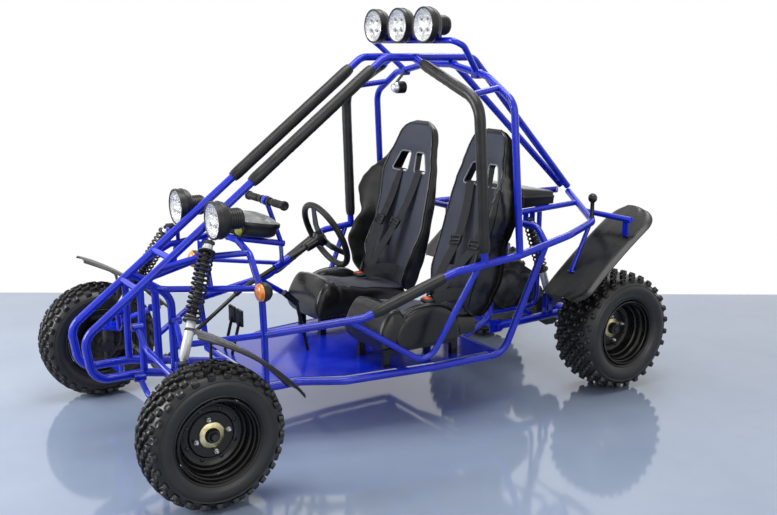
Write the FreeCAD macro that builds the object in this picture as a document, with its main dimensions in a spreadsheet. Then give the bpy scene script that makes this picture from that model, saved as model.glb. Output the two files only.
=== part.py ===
import FreeCAD, Part
import math
import os
import Sketcher

# Two-seat dune buggy on a bent-tube space frame, right-hand drive.
# Millimetres, +Z up, the nose towards -Y, +X to the vehicle's left.
# The origin is on the ground, midway between the axles.

# Driving sizes: one name each, with a value or a formula of other names
SIZES = (
    # Where the wheels are
    ("wheelbase", 2030), ("front_track", 1314), ("rear_track", 986),
    # Tyres: rolling radius to the lug tips, width over the shoulders
    ("front_tyre_radius", 254), ("front_tyre_width", 170),
    ("rear_tyre_radius", 272), ("rear_tyre_width", 238),
    ("front_lug_height", 13), ("rear_lug_height", 16), ("lug_pitches", 16),
    # Rims: the seat under the tyre, the wall and the dished disc
    ("rim_radius", 145), ("rim_wall", 8), ("front_rim_width", 146), ("rear_rim_width", 200),
    ("disc_thickness", 10),
    ("hub_radius", 70), ("cap_radius", 25), ("cap_length", 34),
    # Tube diameters, heavy to light
    ("tube_dia", 32), ("hoop_dia", 31), ("brace_dia", 26), ("light_dia", 20), ("rod_dia", 12),
    # The two centre tubes, from the nose over the roof to the tail
    ("spine_half", 91), ("nose_reach", 1270), ("nose_low", 316), ("nose_high", 482),
    ("nose_heel", "=nose_reach * 105 / 127"),
    ("roof_height", 1490), ("roof_front", 31), ("roof_back", 490),
    ("apex_back", 1145), ("apex_height", 862), ("apex_half", 24),
    # Stations along the frame, as distances ahead of or behind mid-wheelbase
    ("floor_front", "=nose_reach * 64 / 127"), ("cowl_front", "=nose_reach * 65.5 / 127"),
    ("post_front", "=nose_reach * 105.1 / 127"), ("arch_front", "=nose_reach * 92.9 / 127"),
    ("front_hoop_back", 233), ("main_hoop_back", 417), ("rear_hoop_back", 560), ("corner_back", 930),
    # Widths and heights of the side rails
    ("cage_half", 538), ("cowl_half", 325), ("foot_half", 300), ("floor_half", 440), ("corner_half", 430),
    ("floor_height", 237), ("cowl_foot", 462), ("rail_dip", 494), ("rail_height", 660),
    ("rail_main", 688), ("rail_rear", 745), ("corner_height", 766),
    # Hoops
    ("shoulder_half", 522), ("front_shoulder", "=roof_height - 164"),
    ("main_shoulder", "=roof_height - 174"), ("main_crown", "=roof_height - 75"),
    ("crown_half", 347), ("lamp_bar_height", "=roof_height + 70"), ("lamp_bar_back", 222),
    ("lamp_bar_half", 326),
    # Foam sleeves
    ("pad_radius", 26), ("pad_gap", 0.3),
    # Front suspension and steering
    ("arm_half", 120), ("upper_pivot", 508), ("lower_pivot", 308),
    ("kingpin_half", "=front_track / 2 - 137"), ("front_shock_inset", 128),
    ("upper_ball", 338), ("lower_ball", 178), ("knuckle_arm", 100), ("rack_height", 250),
    ("wheel_angle", 25), ("wheel_radius", 158), ("wheel_rim", 12), ("wheel_side", 286),
    ("wheel_back", 48), ("wheel_height", 686),
    # Seats
    ("seat_half", 270), ("seat_width", 450), ("cushion_width", 304), ("seat_front", 200), ("seat_low", 330),
    ("cushion_top", 480),
    ("back_foot", 290), ("back_top_y", 513), ("back_top_z", 1190), ("back_thickness", 95),
    ("bolster_width", 85), ("grip_radius", 16),
    # Lamps
    ("lamp_radius", 74), ("lamp_depth", 96), ("lamp_cap", 30), ("headlight_half", 190),
    ("headlight_front", "=nose_reach * 79.8 / 127"), ("headlight_height", 895), ("roof_lamp_pitch", 195),
    ("roof_lamp_height", "=lamp_bar_height + 78"), ("roof_lamp_back", 160),
    # Engine, swing arm and tail
    ("engine_back", 600), ("engine_length", 270), ("engine_width", 226), ("engine_low", 324),
    ("engine_height", 220), ("fin_pitch", 18), ("fin_thickness", 5),
    ("airbox_half", 190), ("airbox_front", 718), ("airbox_length", 202), ("airbox_height", 95),
    ("deck_half", 190), ("cradle_half", 120), ("cradle_back", 885),
    ("axle_radius", 15), ("sprocket_radius", 90), ("sprocket_side", 70), ("brake_radius", 95),
    ("fender_thickness", 5), ("fender_inner", 350), ("fender_outer", 622), ("front_fender_width", 168),
)

doc = FreeCAD.newDocument("DuneBuggy")
sheet = doc.addObject("Spreadsheet::Sheet", "Sizes")
for row, (alias, number) in enumerate(SIZES, 1):
    sheet.set("A%d" % row, alias)
    sheet.set("B%d" % row, str(number))
    sheet.setAlias("B%d" % row, alias)
doc.recompute()


class Named:
    """The sheet's values by name."""


s = Named()
for alias, number in SIZES:
    setattr(s, alias, float(sheet.get(alias)))

nodes = {}

# Stations ahead of the middle are given for a nose 1270 mm out, and follow its reach
reach_scale = s.nose_reach / 1270


def vec(x, y, z):
    return FreeCAD.Vector(x, y, z)


def ahead(station):
    """A place ahead of mid-wheelbase that follows the nose's reach."""
    return -station * reach_scale


def flipped(points):
    """The same points on the other side of the vehicle."""
    return [vec(-p.x, p.y, p.z) for p in points]


# Bent tubes: twelve flats, and each bend is mitred in short steps


def section(centre, direction, radius, sides):
    """A flat-sided ring across the direction, its corners on the radius."""
    ahead = vec(direction.x, direction.y, direction.z).normalize()
    across = ahead.cross(vec(0, 0, 1))
    if across.Length < 0.05:
        across = ahead.cross(vec(1, 0, 0))
    across.normalize()
    up = across.cross(ahead)
    points = []
    for index in range(sides + 1):
        turn = 2 * math.pi * (index + 0.5) / sides
        points.append(centre + across * (radius * math.cos(turn)) + up * (radius * math.sin(turn)))
    return Part.makePolygon(points)


def mitred(points, bend, step):
    """The route's points with each corner eased to the bend radius in turns of about the step."""
    eased = [points[0]]
    for before, corner, after in zip(points, points[1:], points[2:]):
        back = (before - corner).normalize()
        ahead = (after - corner).normalize()
        inside = back.getAngle(ahead)
        turn = math.pi - inside
        count = max(1, round(math.degrees(turn) / step))
        if count == 1:
            eased.append(corner)
            continue
        centre = corner + (back + ahead).normalize() * (bend / math.sin(inside / 2))
        spoke = corner + back * (bend / math.tan(inside / 2)) - centre
        axis = ahead.cross(back)
        reach = bend / math.cos(turn / count / 2)
        for index in range(count):
            angle = math.degrees(turn) * (index + 0.5) / count
            eased.append(centre + FreeCAD.Rotation(axis, angle).multVec(spoke).normalize() * reach)
    eased.append(points[-1])
    return eased


def sweep(points, radius, sides):
    """A flat-sided bar along straight runs with mitred corners."""
    ring = section(points[0], points[1] - points[0], radius, sides)
    if len(points) == 2:
        return Part.Face(ring).extrude(points[1] - points[0])
    return Part.makePolygon(points).makePipeShell([ring], True, False, 1)


TUBE_SIDES = 12
BEND_STEP = 26
FLAT = 1 / math.cos(math.pi / TUBE_SIDES)


def tube(points, dia, bend=70, bore=0):
    """A round bar along the route, or a sleeve when it has a bore."""
    eased = mitred(points, bend, BEND_STEP)
    whole = sweep(eased, dia / 2, TUBE_SIDES)
    if bore:
        whole = whole.cut(sweep(eased, bore / 2 * FLAT, TUBE_SIDES))
    return whole


def bar(start, end, radius, sides=TUBE_SIDES):
    """A straight round bar between two points."""
    return sweep([start, end], radius, sides)


def bore(start, end, radius, sides=TUBE_SIDES):
    """The tool for a round hole: its flats lie on the radius."""
    return sweep([start, end], radius / math.cos(math.pi / sides), sides)


def turned(centre, profile, sides, lie, hollow=True):
    """A flat-sided turned shape: places along the axis and radii from it, round a bore or solid."""
    rings = []
    for place, radius in profile:
        ring = []
        for index in range(sides):
            turn = 2 * math.pi * index / sides
            ring.append(centre + lie(place, radius * math.cos(turn), radius * math.sin(turn)))
        rings.append(ring)
    faces = []
    followers = rings[1:]
    if hollow:
        followers = followers + rings[:1]
    else:
        for ring in (rings[0], rings[-1]):
            faces.append(Part.Face(Part.makePolygon(ring + ring[:1])))
    for first, second in zip(rings, followers):
        for index in range(sides):
            after = (index + 1) % sides
            corners = [first[index], first[after], second[after], second[index], first[index]]
            faces.append(Part.Face(Part.makePolygon(corners)))
    shell = Part.makeShell(faces)
    shell.sewShape()
    solid = Part.makeSolid(shell)
    if solid.Volume < 0:
        solid.reverse()
    return solid


def across_vehicle(place, y, z):
    """Turned shapes whose axis is an axle."""
    return vec(place, y, z)


def along_vehicle(place, x, z):
    """Turned shapes whose axis points ahead, such as lamps."""
    return vec(x, place, z)


def along(points, axis, value):
    """The point of a route's straight runs where x, y or z has the value."""
    for a, b in zip(points, points[1:]):
        low, high = getattr(a, axis), getattr(b, axis)
        if low != high and min(low, high) <= value <= max(low, high):
            return a + (b - a) * ((value - low) / (high - low))
    ends = sorted((points[0], points[-1]), key=lambda p: abs(getattr(p, axis) - value))
    return ends[0]


def pair(make):
    """One piece made on the left and its mirror image on the right."""
    left = make
    return [left, left.mirror(vec(0, 0, 0), vec(1, 0, 0))]


def joined(shapes):
    """Welded tubes as one solid where they meet."""
    whole = shapes[0].multiFuse(shapes[1:]) if len(shapes) > 1 else shapes[0]
    return whole.removeSplitter()


def add_shape(name, shape, seats=()):
    """A node whose solids are notched to sit on the nodes that carry it."""
    for seat in seats:
        shape = shape.cut(nodes[seat].Shape)
    largest = max(solid.Volume for solid in shape.Solids)
    kept = [solid for solid in shape.Solids if solid.Volume > largest / 200]
    item = doc.addObject("Part::Feature", name)
    item.Label = name
    item.Shape = kept[0] if len(kept) == 1 else Part.makeCompound(kept)
    item.Placement = FreeCAD.Placement()
    nodes[name] = item
    return item


# Sketched bodies


def new_body(name):
    body = doc.addObject("PartDesign::Body", name)
    body.Label = name
    return body


def outline(body, role, corners, name):
    """A closed outline; each corner is two formulas of the sheet's names."""
    sketch = body.newObject("Sketcher::SketchObject", name)
    plane = [item for item in body.Origin.OriginFeatures if item.Role == role][0]
    sketch.AttachmentSupport = [(plane, "")]
    sketch.MapMode = "FlatFace"
    count = len(corners)
    rough = []
    for index in range(count):
        turn = 2 * math.pi * index / count
        rough.append(vec(100 * math.cos(turn), 100 * math.sin(turn), 0))
    for index in range(count):
        sketch.addGeometry(Part.LineSegment(rough[index], rough[(index + 1) % count]), False)
    for index in range(count):
        sketch.addConstraint(Sketcher.Constraint("Coincident", index, 2, (index + 1) % count, 1))
    for index, corner in enumerate(corners):
        for kind, formula in zip(("DistanceX", "DistanceY"), corner):
            number = sketch.addConstraint(Sketcher.Constraint(kind, -1, 1, index, 1, 1.0 + index))
            sketch.setExpression("Constraints[%d]" % number, formula)
    return sketch


def pad(body, role, corners, length, name, offset=None):
    """An outline pushed both ways from its plane, by half the length each."""
    sketch = outline(body, role, corners, name + "_outline")
    if offset:
        sketch.setExpression("AttachmentOffset.Base.z", offset)
    feature = body.newObject("PartDesign::Pad", name)
    feature.Profile = sketch
    feature.SideType = "Symmetric"
    feature.setExpression("Length", length)
    doc.recompute()
    return feature


def add_body(name, body):
    nodes[name] = body


# Centre tubes: nose curl, windscreen slope, roof and tail stay in one bend each side

nose_slope = (s.roof_height - s.nose_high) / (s.roof_front + s.nose_reach)
spine = [
    vec(s.spine_half, -s.floor_front, s.floor_height),
    vec(s.spine_half, -s.nose_heel, s.nose_low),
    vec(s.spine_half, -s.nose_reach + 24, s.nose_low),
    vec(s.spine_half, -s.nose_reach, s.nose_high),
    vec(s.spine_half, s.roof_front, s.roof_height),
    vec(s.spine_half, s.roof_back, s.roof_height),
    vec(s.apex_half, s.apex_back, s.apex_height),
]
add_shape("spine_tubes", Part.makeCompound(pair(tube(spine, s.tube_dia, 72))))

# Side rails: cowl foot, dip beside the seat, hip, tail corner and run in to the apex
side_rail = [
    vec(s.cowl_half, -s.cowl_front, s.cowl_foot),
    vec(s.corner_half, ahead(276), s.rail_dip),
    vec(s.cage_half, 78, s.rail_height - 3),
    vec(s.cage_half, s.main_hoop_back, s.rail_main),
    vec(s.cage_half, 687, s.rail_rear),
    vec(s.corner_half, s.corner_back, s.corner_height),
    vec(s.apex_half + s.tube_dia / 2, s.apex_back - 8, s.apex_height - 24),
]
add_shape("side_rails", Part.makeCompound(pair(tube(side_rail, s.tube_dia, 70))), ["spine_tubes"])

# Floor frame: the two lower rails with their rear uprights and the cross members
lower_rail = [
    vec(s.foot_half, -s.floor_front, s.floor_height),
    vec(s.foot_half, ahead(500), s.floor_height),
    vec(s.floor_half - 50, ahead(340), s.floor_height),
    vec(s.floor_half, 60, s.floor_height),
    vec(s.floor_half + 6, s.main_hoop_back, s.floor_height),
    along(side_rail, "y", 556),
]
cross_stations = (-s.floor_front, -60, 400)
floor_tubes = pair(tube(lower_rail, s.hoop_dia, 60))
for station in cross_stations:
    reach = along(lower_rail, "y", station).x
    height = s.floor_height
    floor_tubes.append(tube([vec(-reach, station, height), vec(reach, station, height)], s.brace_dia))
add_shape("floor_frame", joined(floor_tubes), ["side_rails", "spine_tubes"])

# V tubes: from the rail ahead of the seat down to the floor rail and up to the hip
v_foot = vec(s.floor_half + 34, 0, s.floor_height + s.hoop_dia)
v_tube = [along(side_rail, "y", ahead(333)), v_foot, along(side_rail, "y", 203)]
add_shape("v_tubes", Part.makeCompound(pair(tube(v_tube, s.brace_dia, 60))), ["side_rails", "floor_frame"])

# Front hoop halves: roof to hip rail, padded
front_foot = along(side_rail, "y", s.front_hoop_back)
front_hoop = [
    vec(s.spine_half, 182, s.roof_height - 4),
    vec(s.shoulder_half, 200, s.front_shoulder),
    front_foot,
]
front_halves = pair(tube(front_hoop, s.hoop_dia, 72))
add_shape("front_hoop", Part.makeCompound(front_halves), ["spine_tubes", "side_rails"])

# Main hoop: one tube from rail to rail under the roof tubes
main_foot = along(side_rail, "y", s.main_hoop_back)
main_left = [
    main_foot,
    vec(s.shoulder_half, 376, s.main_shoulder),
    vec(s.crown_half, 376, s.main_crown),
    vec(s.spine_half, 372, s.roof_height - s.tube_dia / 2 - s.hoop_dia / 2 + 2),
]
main_hoop = main_left + flipped(main_left[::-1])
links = [along(front_hoop, "x", 463), along(main_left[::-1], "x", 424)]
main_tubes = [tube(main_hoop, s.hoop_dia, 60)] + pair(tube(links, s.light_dia))
add_shape("main_hoop", joined(main_tubes), ["spine_tubes", "side_rails", "front_hoop"])

# Lamp bar over the roof, bent down to the main hoop
bar_foot = along(main_left[::-1], "x", 275)
bar_left = [
    bar_foot,
    vec(s.lamp_bar_half, s.lamp_bar_back + 44, s.lamp_bar_height - 22),
    vec(s.lamp_bar_half - 12, s.lamp_bar_back, s.lamp_bar_height),
]
lamp_bar = bar_left + flipped(bar_left[::-1])
add_shape("lamp_bar", tube(lamp_bar, s.brace_dia, 30), ["main_hoop"])

# Cross tubes between the centre tubes: two at the nose, two at the roof


def slope_at(y):
    """The point on the left centre tube above a station along the vehicle."""
    return along(spine[3:], "y", y)


cross_tubes = []
for station in (ahead(928), ahead(1061), 182, 480):
    height = slope_at(station).z
    reach = s.spine_half
    cross_tubes.append(tube([vec(-reach, station, height), vec(reach, station, height)], s.brace_dia))
apex_at = along(spine[5:], "y", s.apex_back - 30)
cross_tubes.append(tube([vec(-apex_at.x, apex_at.y, apex_at.z), apex_at], s.light_dia))
add_shape("spine_crossbars", Part.makeCompound(cross_tubes), ["spine_tubes"])

# Front bulkhead: posts and bent arches that carry the suspension arms
post_top = slope_at(-s.post_front)
post = [post_top, vec(s.spine_half, -s.post_front, s.nose_low)]
arch = [
    slope_at(ahead(1030)),
    vec(s.spine_half, -s.arch_front - 4, 604),
    vec(s.spine_half, -s.arch_front, along(spine[:2], "y", -s.arch_front).z),
]
bulkhead = pair(joined([tube(post, s.brace_dia + 2), tube(arch, s.hoop_dia, 60)]))
add_shape("bulkhead_tubes", Part.makeCompound(bulkhead), ["spine_tubes", "spine_crossbars"])

# Cowl hoop: from the cowl feet up and over under the centre tubes, with short legs to the floor
cowl_left = [
    vec(s.foot_half, -s.floor_front, s.floor_height),
    vec(s.cowl_half, -s.cowl_front, s.cowl_foot),
    vec(s.cowl_half - 8, -s.cowl_front - 3, 623),
    vec(218, -s.cowl_front - 3, 757),
    vec(106, -s.cowl_front - 3, 792),
]
cowl = cowl_left + flipped(cowl_left[::-1])
dash_tube = [vec(0, -s.cowl_front - 3, 788), vec(0, ahead(404), 734)]
cowl_tubes = [tube(cowl, s.brace_dia + 1, 45), tube(dash_tube, s.brace_dia)]
add_shape("cowl_hoop", joined(cowl_tubes), ["side_rails", "floor_frame", "spine_tubes"])

# Nose rails: upper and middle rails from the centre tubes to the cowl, foot rails and link posts
upper_rail = [
    slope_at(ahead(975)),
    vec(150, ahead(841), 752),
    along(cowl_left, "z", 760),
]
middle_rail = [slope_at(ahead(1044)), vec(s.spine_half + 5, ahead(960), 632), along(cowl_left, "z", 640)]
foot_rail = [vec(s.spine_half, -s.arch_front, 400), vec(s.cowl_half, -s.cowl_front, s.cowl_foot)]
link_post = [along(upper_rail, "y", ahead(812)), along(middle_rail, "y", ahead(812))]
shock_eye = 16
front_shock_top = vec(205, ahead(819), 812)


def ears(low, high, eye, width):
    """Two plates, one each side of a shock's eye."""
    gap = shock_eye + 0.3
    return [
        Part.makeBox(width, 6, high - low, vec(eye.x - width / 2, eye.y - gap - 6, low)),
        Part.makeBox(width, 6, high - low, vec(eye.x - width / 2, eye.y + gap, low)),
    ]


upper_at = along(upper_rail, "y", front_shock_top.y)
front_ears = ears(upper_at.z - 4, front_shock_top.z + 7, vec(upper_at.x + 10, front_shock_top.y, 0), 34)
nose_side = joined(front_ears + [
    tube(upper_rail, s.brace_dia - 1, 60),
    tube(middle_rail, s.brace_dia - 1, 60),
    tube(link_post, s.light_dia),
])
nose_rails = pair(nose_side) + pair(tube(foot_rail, s.brace_dia - 1))
seats = ["spine_tubes", "bulkhead_tubes", "cowl_hoop", "side_rails"]
add_shape("nose_rails", Part.makeCompound(nose_rails), seats)

# Tail frame: rear hoop behind the seats, engine rails and the stays to the apex
hoop_foot = along(side_rail, "y", s.rear_hoop_back)
rear_left = [hoop_foot, vec(s.cage_half - 60, s.rear_hoop_back, s.rail_rear + 40)]
rear_hoop = rear_left + flipped(rear_left[::-1])
engine_rail = s.engine_low - 12
tail_cross = s.rail_rear + 40
cradle_front = [
    vec(170, s.rear_hoop_back, tail_cross), vec(170, s.rear_hoop_back, engine_rail),
    vec(170, s.main_hoop_back - 10, s.floor_height),
]
deck_end = along(side_rail[5:], "x", s.deck_half)
deck = [vec(s.deck_half, s.rear_hoop_back, tail_cross), deck_end]
deck_cross = along(deck, "y", s.cradle_back)
cradle_rear = [
    vec(s.cradle_half, s.cradle_back, deck_cross.z), vec(s.cradle_half, s.cradle_back, engine_rail),
    vec(s.cradle_half - 20, s.rear_hoop_back, engine_rail),
]
rear_shock_top = along(deck, "y", 760) - vec(0, 0, 44)
pivot_at = vec(204, s.rear_hoop_back + 40, s.engine_low - 60)
pivot_ear = Part.makeBox(8, 70, 60, vec(178, s.rear_hoop_back - 10, pivot_at.z - 26))
tail_tubes = [tube(rear_hoop, s.brace_dia + 2, 60)]
tail_tubes += pair(tube(cradle_front, s.brace_dia, 50)) + pair(tube(deck, s.brace_dia))
tail_tubes += pair(tube(cradle_rear, s.brace_dia - 2, 50)) + pair(pivot_ear)
cradle_cross = [vec(-170, s.rear_hoop_back, engine_rail), vec(170, s.rear_hoop_back, engine_rail)]
tail_tubes.append(tube(cradle_cross, s.brace_dia - 1))
tail_tubes.append(tube([vec(-s.deck_half, deck_cross.y, deck_cross.z), deck_cross], s.brace_dia - 1))
shock_ears = joined(ears(rear_shock_top.z - 14, rear_shock_top.z + 44, rear_shock_top, 34))
tail_tubes += pair(shock_ears.Solids[0]) + pair(shock_ears.Solids[1])
add_shape("tail_frame", joined(tail_tubes), ["side_rails", "floor_frame", "spine_tubes"])

# Floor pan: a plate let in between the lower rails
pan = new_body("floor_pan")
pan_corners = [
    ("Sizes.foot_half - Sizes.hoop_dia / 2 - 1", "-Sizes.floor_front + Sizes.brace_dia / 2 + 1"),
    ("Sizes.foot_half - Sizes.hoop_dia / 2 - 1", "-Sizes.nose_reach * 50.5 / 127"),
    ("Sizes.floor_half - 72", "-Sizes.nose_reach * 33 / 127"),
    ("Sizes.floor_half - 22", "60"),
    ("Sizes.floor_half - 22", "Sizes.main_hoop_back - 40"),
]
pan_corners += [("-(" + u + ")", v) for u, v in pan_corners[::-1]]
pad(pan, "XY_Plane", pan_corners, "3", "pan_plate", "Sizes.floor_height + Sizes.brace_dia / 2 + 1.8")
add_body("floor_pan", pan)

# Foam sleeves on the screen tubes, the front hoop and the side rails
sleeve_bore = s.tube_dia + 2 * s.pad_gap
screen_pad = [slope_at(ahead(584)), slope_at(-29)]
add_shape("screen_pads", Part.makeCompound(pair(tube(screen_pad, 2 * s.pad_radius, 70, sleeve_bore))))
roof_end = along(front_hoop, "x", s.spine_half + 60)
pillar_end = along(front_hoop[1:], "z", s.rail_height + 60)
pillar_pad = [roof_end, front_hoop[1], pillar_end]
pillar_bore = s.hoop_dia + 2 * s.pad_gap
pillar_sleeve = tube(pillar_pad, 2 * s.pad_radius - 4, 72, pillar_bore)
add_shape("pillar_pads", Part.makeCompound(pair(pillar_sleeve)), ["main_hoop"])
rail_pad = [along(side_rail, "y", ahead(240)), along(side_rail, "y", 40)]
add_shape("rail_pads", Part.makeCompound(pair(tube(rail_pad, 2 * s.pad_radius - 4, 70, sleeve_bore))))

# Wheels

WHEEL_SIDES = 32


def lug_block(centre, turn, across, width, length, low, high):
    """One tread lug: a block that stands on the carcass at the given turn of the wheel."""
    block = Part.makeBox(width, length, high - low, vec(across - width / 2, -length / 2, low))
    block.rotate(vec(0, 0, 0), vec(1, 0, 0), math.degrees(turn) - 90)
    block.translate(centre)
    return block


def tyre(centre, radius, width, lug_height, rows):
    """Carcass round the rim seat, with rows of lugs over a flat-sided tread."""
    base = radius - lug_height
    half = width / 2
    seat = (s.rim_radius + 0.3) / math.cos(math.pi / WHEEL_SIDES)
    bulge = seat + (base - seat) * 0.5
    profile = [
        (-half * 0.78, seat), (-half * 0.84, seat + 14), (-half, bulge), (-half * 0.93, base),
        (half * 0.93, base), (half, bulge), (half * 0.84, seat + 14), (half * 0.78, seat),
    ]
    carcass = turned(centre, profile, WHEEL_SIDES, across_vehicle)
    lugs = []
    pitches = int(s.lug_pitches)
    flat_low = base * math.cos(math.pi / WHEEL_SIDES) - 2
    for index in range(pitches):
        for across, lug_width, length, drop, shift in rows:
            turn = 2 * math.pi * (index + shift + 0.25) / pitches
            reach = math.sqrt(radius ** 2 - (length / 2) ** 2) - drop
            lugs.append(lug_block(centre, turn, across * half, lug_width * half, length, flat_low, reach))
    return carcass.multiFuse(lugs)


front_y = -s.wheelbase / 2
rear_y = s.wheelbase / 2
front_hub = vec(s.front_track / 2, front_y, s.front_tyre_radius)
rear_hub = vec(s.rear_track / 2, rear_y, s.rear_tyre_radius)
front_rows = ((-0.68, 0.44, 36, 3, 0), (0, 0.56, 40, 0, 0.5), (0.68, 0.44, 36, 3, 0))
rear_rows = (
    (-0.7, 0.3, 38, 4, 0), (0.7, 0.3, 38, 4, 0), (-0.24, 0.3, 40, 0, 0.5), (0.24, 0.3, 40, 0, 0.5),
)
front_tyre = tyre(front_hub, s.front_tyre_radius, s.front_tyre_width, s.front_lug_height, front_rows)
rear_tyre = tyre(rear_hub, s.rear_tyre_radius, s.rear_tyre_width, s.rear_lug_height, rear_rows)
left_tyre, right_tyre = pair(front_tyre)
add_shape("front_tyre_left", left_tyre)
add_shape("front_tyre_right", right_tyre)
add_shape("rear_tyres", Part.makeCompound(pair(rear_tyre)))


def rim(centre, width, disc_at):
    """A dished rim: the barrel with a disc across it, bored for the hub."""
    half = width / 2
    inner = s.rim_radius - s.rim_wall
    front = disc_at + s.disc_thickness / 2
    back = disc_at - s.disc_thickness / 2
    hole = s.cap_radius + 0.5
    profile = [
        (-half, s.rim_radius), (half, s.rim_radius), (half, inner), (front, inner - 14),
        (front, hole), (back, hole), (back, inner), (-half, inner),
    ]
    return turned(centre, profile, WHEEL_SIDES, across_vehicle)


front_disc = -6
rear_disc = -8
left_rim, right_rim = pair(rim(front_hub, s.front_rim_width, front_disc))
add_shape("front_rim_left", left_rim)
add_shape("front_rim_right", right_rim)
add_shape("rear_rims", Part.makeCompound(pair(rim(rear_hub, s.rear_rim_width, rear_disc))))


def hub(centre, disc_at, inner_x):
    """A flange against the disc's back, a spigot with its cap through the bore, and the inner barrel."""
    face = centre.x + disc_at - s.disc_thickness / 2
    flange = bar(vec(face - 9, centre.y, centre.z), vec(face, centre.y, centre.z), s.hub_radius)
    cap_end = face + s.disc_thickness + s.cap_length
    spigot = bar(vec(face, centre.y, centre.z), vec(cap_end, centre.y, centre.z), s.cap_radius)
    barrel = bar(vec(inner_x, centre.y, centre.z), vec(face - 9, centre.y, centre.z), s.cap_radius + 4)
    return joined([flange, spigot, barrel])


# Front hubs turn with the wheels; the knuckles carry them on their spindles
spindle_face = s.kingpin_half + 32
left_hub, right_hub = pair(hub(front_hub, front_disc, spindle_face))
add_shape("front_hub_left", left_hub)
add_shape("front_hub_right", right_hub)


def circle_through(low, middle, high):
    """Centre and radius of the side-view circle through three places."""
    (y1, z1), (y2, z2), (y3, z3) = low, middle, high
    a = y2 - y1, z2 - z1, (y2 ** 2 - y1 ** 2 + z2 ** 2 - z1 ** 2) / 2
    b = y3 - y1, z3 - z1, (y3 ** 2 - y1 ** 2 + z3 ** 2 - z1 ** 2) / 2
    scale = a[0] * b[1] - a[1] * b[0]
    y = (a[2] * b[1] - b[2] * a[1]) / scale
    z = (a[0] * b[2] - b[0] * a[2]) / scale
    return y, z, math.hypot(y1 - y, z1 - z)


def guard_height(places, y, below):
    """How high a mudguard's arc lies at a place along the vehicle, less some depth below its face."""
    centre_y, centre_z, radius = circle_through(*places)
    return centre_z + math.sqrt((radius - below) ** 2 - (y - centre_y) ** 2)


def mudguard(places, inner_x, outer_x):
    """A curved sheet: short flats round the arc, the same thickness all over."""
    centre_y, centre_z, radius = circle_through(*places)
    start = math.atan2(places[0][1] - centre_z, places[0][0] - centre_y)
    end = math.atan2(places[2][1] - centre_z, places[2][0] - centre_y)
    steps = 6
    outer, inner = [], []
    for index in range(steps + 1):
        turn = start + (end - start) * index / steps
        for edge, reach in ((outer, radius), (inner, radius - s.fender_thickness)):
            edge.append(vec(inner_x, centre_y + reach * math.cos(turn), centre_z + reach * math.sin(turn)))
    corners = outer + inner[::-1]
    return Part.Face(Part.makePolygon(corners + corners[:1])).extrude(vec(outer_x - inner_x, 0, 0))


front_arc = (
    (front_y - 52, s.front_tyre_radius + 376),
    (front_y + 135, s.front_tyre_radius + 278),
    (front_y + 334, s.front_tyre_radius + 96),
)
stay_y = front_y + 62
stay_z = guard_height(front_arc, stay_y, s.fender_thickness + s.rod_dia / 2 + 0.8)


def knuckle():
    """Upright between the ball joints, spindle boss, steering arm and the mudguard's bent stay."""
    x, y = s.kingpin_half, front_y
    upright = bar(vec(x, y, s.lower_ball + 14), vec(x, y, s.upper_ball - 14), 17)
    boss = bar(vec(x - 22, y, front_hub.z), vec(spindle_face - 0.3, y, front_hub.z), 27)
    arm_z = s.rack_height - 14
    arm = Part.makeBox(26, s.knuckle_arm, 12, vec(x - 13, y, arm_z - 6))
    eye = bar(vec(x, y + s.knuckle_arm, arm_z - 6), vec(x, y + s.knuckle_arm, arm_z + 6), 15)
    stay = [
        vec(x + 6, y + 6, s.upper_ball - 40), vec(x + 6, stay_y, s.upper_ball + 10),
        vec(x + 6, stay_y, stay_z), vec(front_hub.x + 60, stay_y, stay_z),
    ]
    return joined([upright, boss, arm, eye, tube(stay, s.rod_dia, 26)])


left_knuckle, right_knuckle = pair(knuckle())
add_shape("knuckle_left", left_knuckle)
add_shape("knuckle_right", right_knuckle)

# Front mudguards rest on the knuckles' stays and turn with them
half_guard = s.front_fender_width / 2
guard_left, guard_right = pair(mudguard(front_arc, front_hub.x - half_guard, front_hub.x + half_guard))
add_shape("front_fender_left", guard_left, ["knuckle_left"])
add_shape("front_fender_right", guard_right, ["knuckle_right"])


# Suspension arms: a front leg with a bend and a straight rear leg, on cross bushes


def wishbone(pivot_z, ball_z, drop):
    """One wishbone: bushes at its two inner ends and a ball joint housing at the kingpin."""
    front_eye = vec(s.arm_half, -s.post_front - 28, pivot_z)
    rear_eye = vec(s.arm_half, -s.arch_front, pivot_z)
    ball = vec(s.kingpin_half, front_y, ball_z)
    knee = vec(s.arm_half + 36, -s.post_front - 12, pivot_z - drop)
    legs = [
        tube([front_eye, knee, ball], s.brace_dia - 4, 50),
        tube([rear_eye, ball], s.brace_dia - 4),
        bar(vec(front_eye.x, front_eye.y - 20, pivot_z), vec(front_eye.x, front_eye.y + 20, pivot_z), 15),
        bar(vec(rear_eye.x, rear_eye.y - 20, pivot_z), vec(rear_eye.x, rear_eye.y + 20, pivot_z), 15),
    ]
    return joined(legs)


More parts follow.
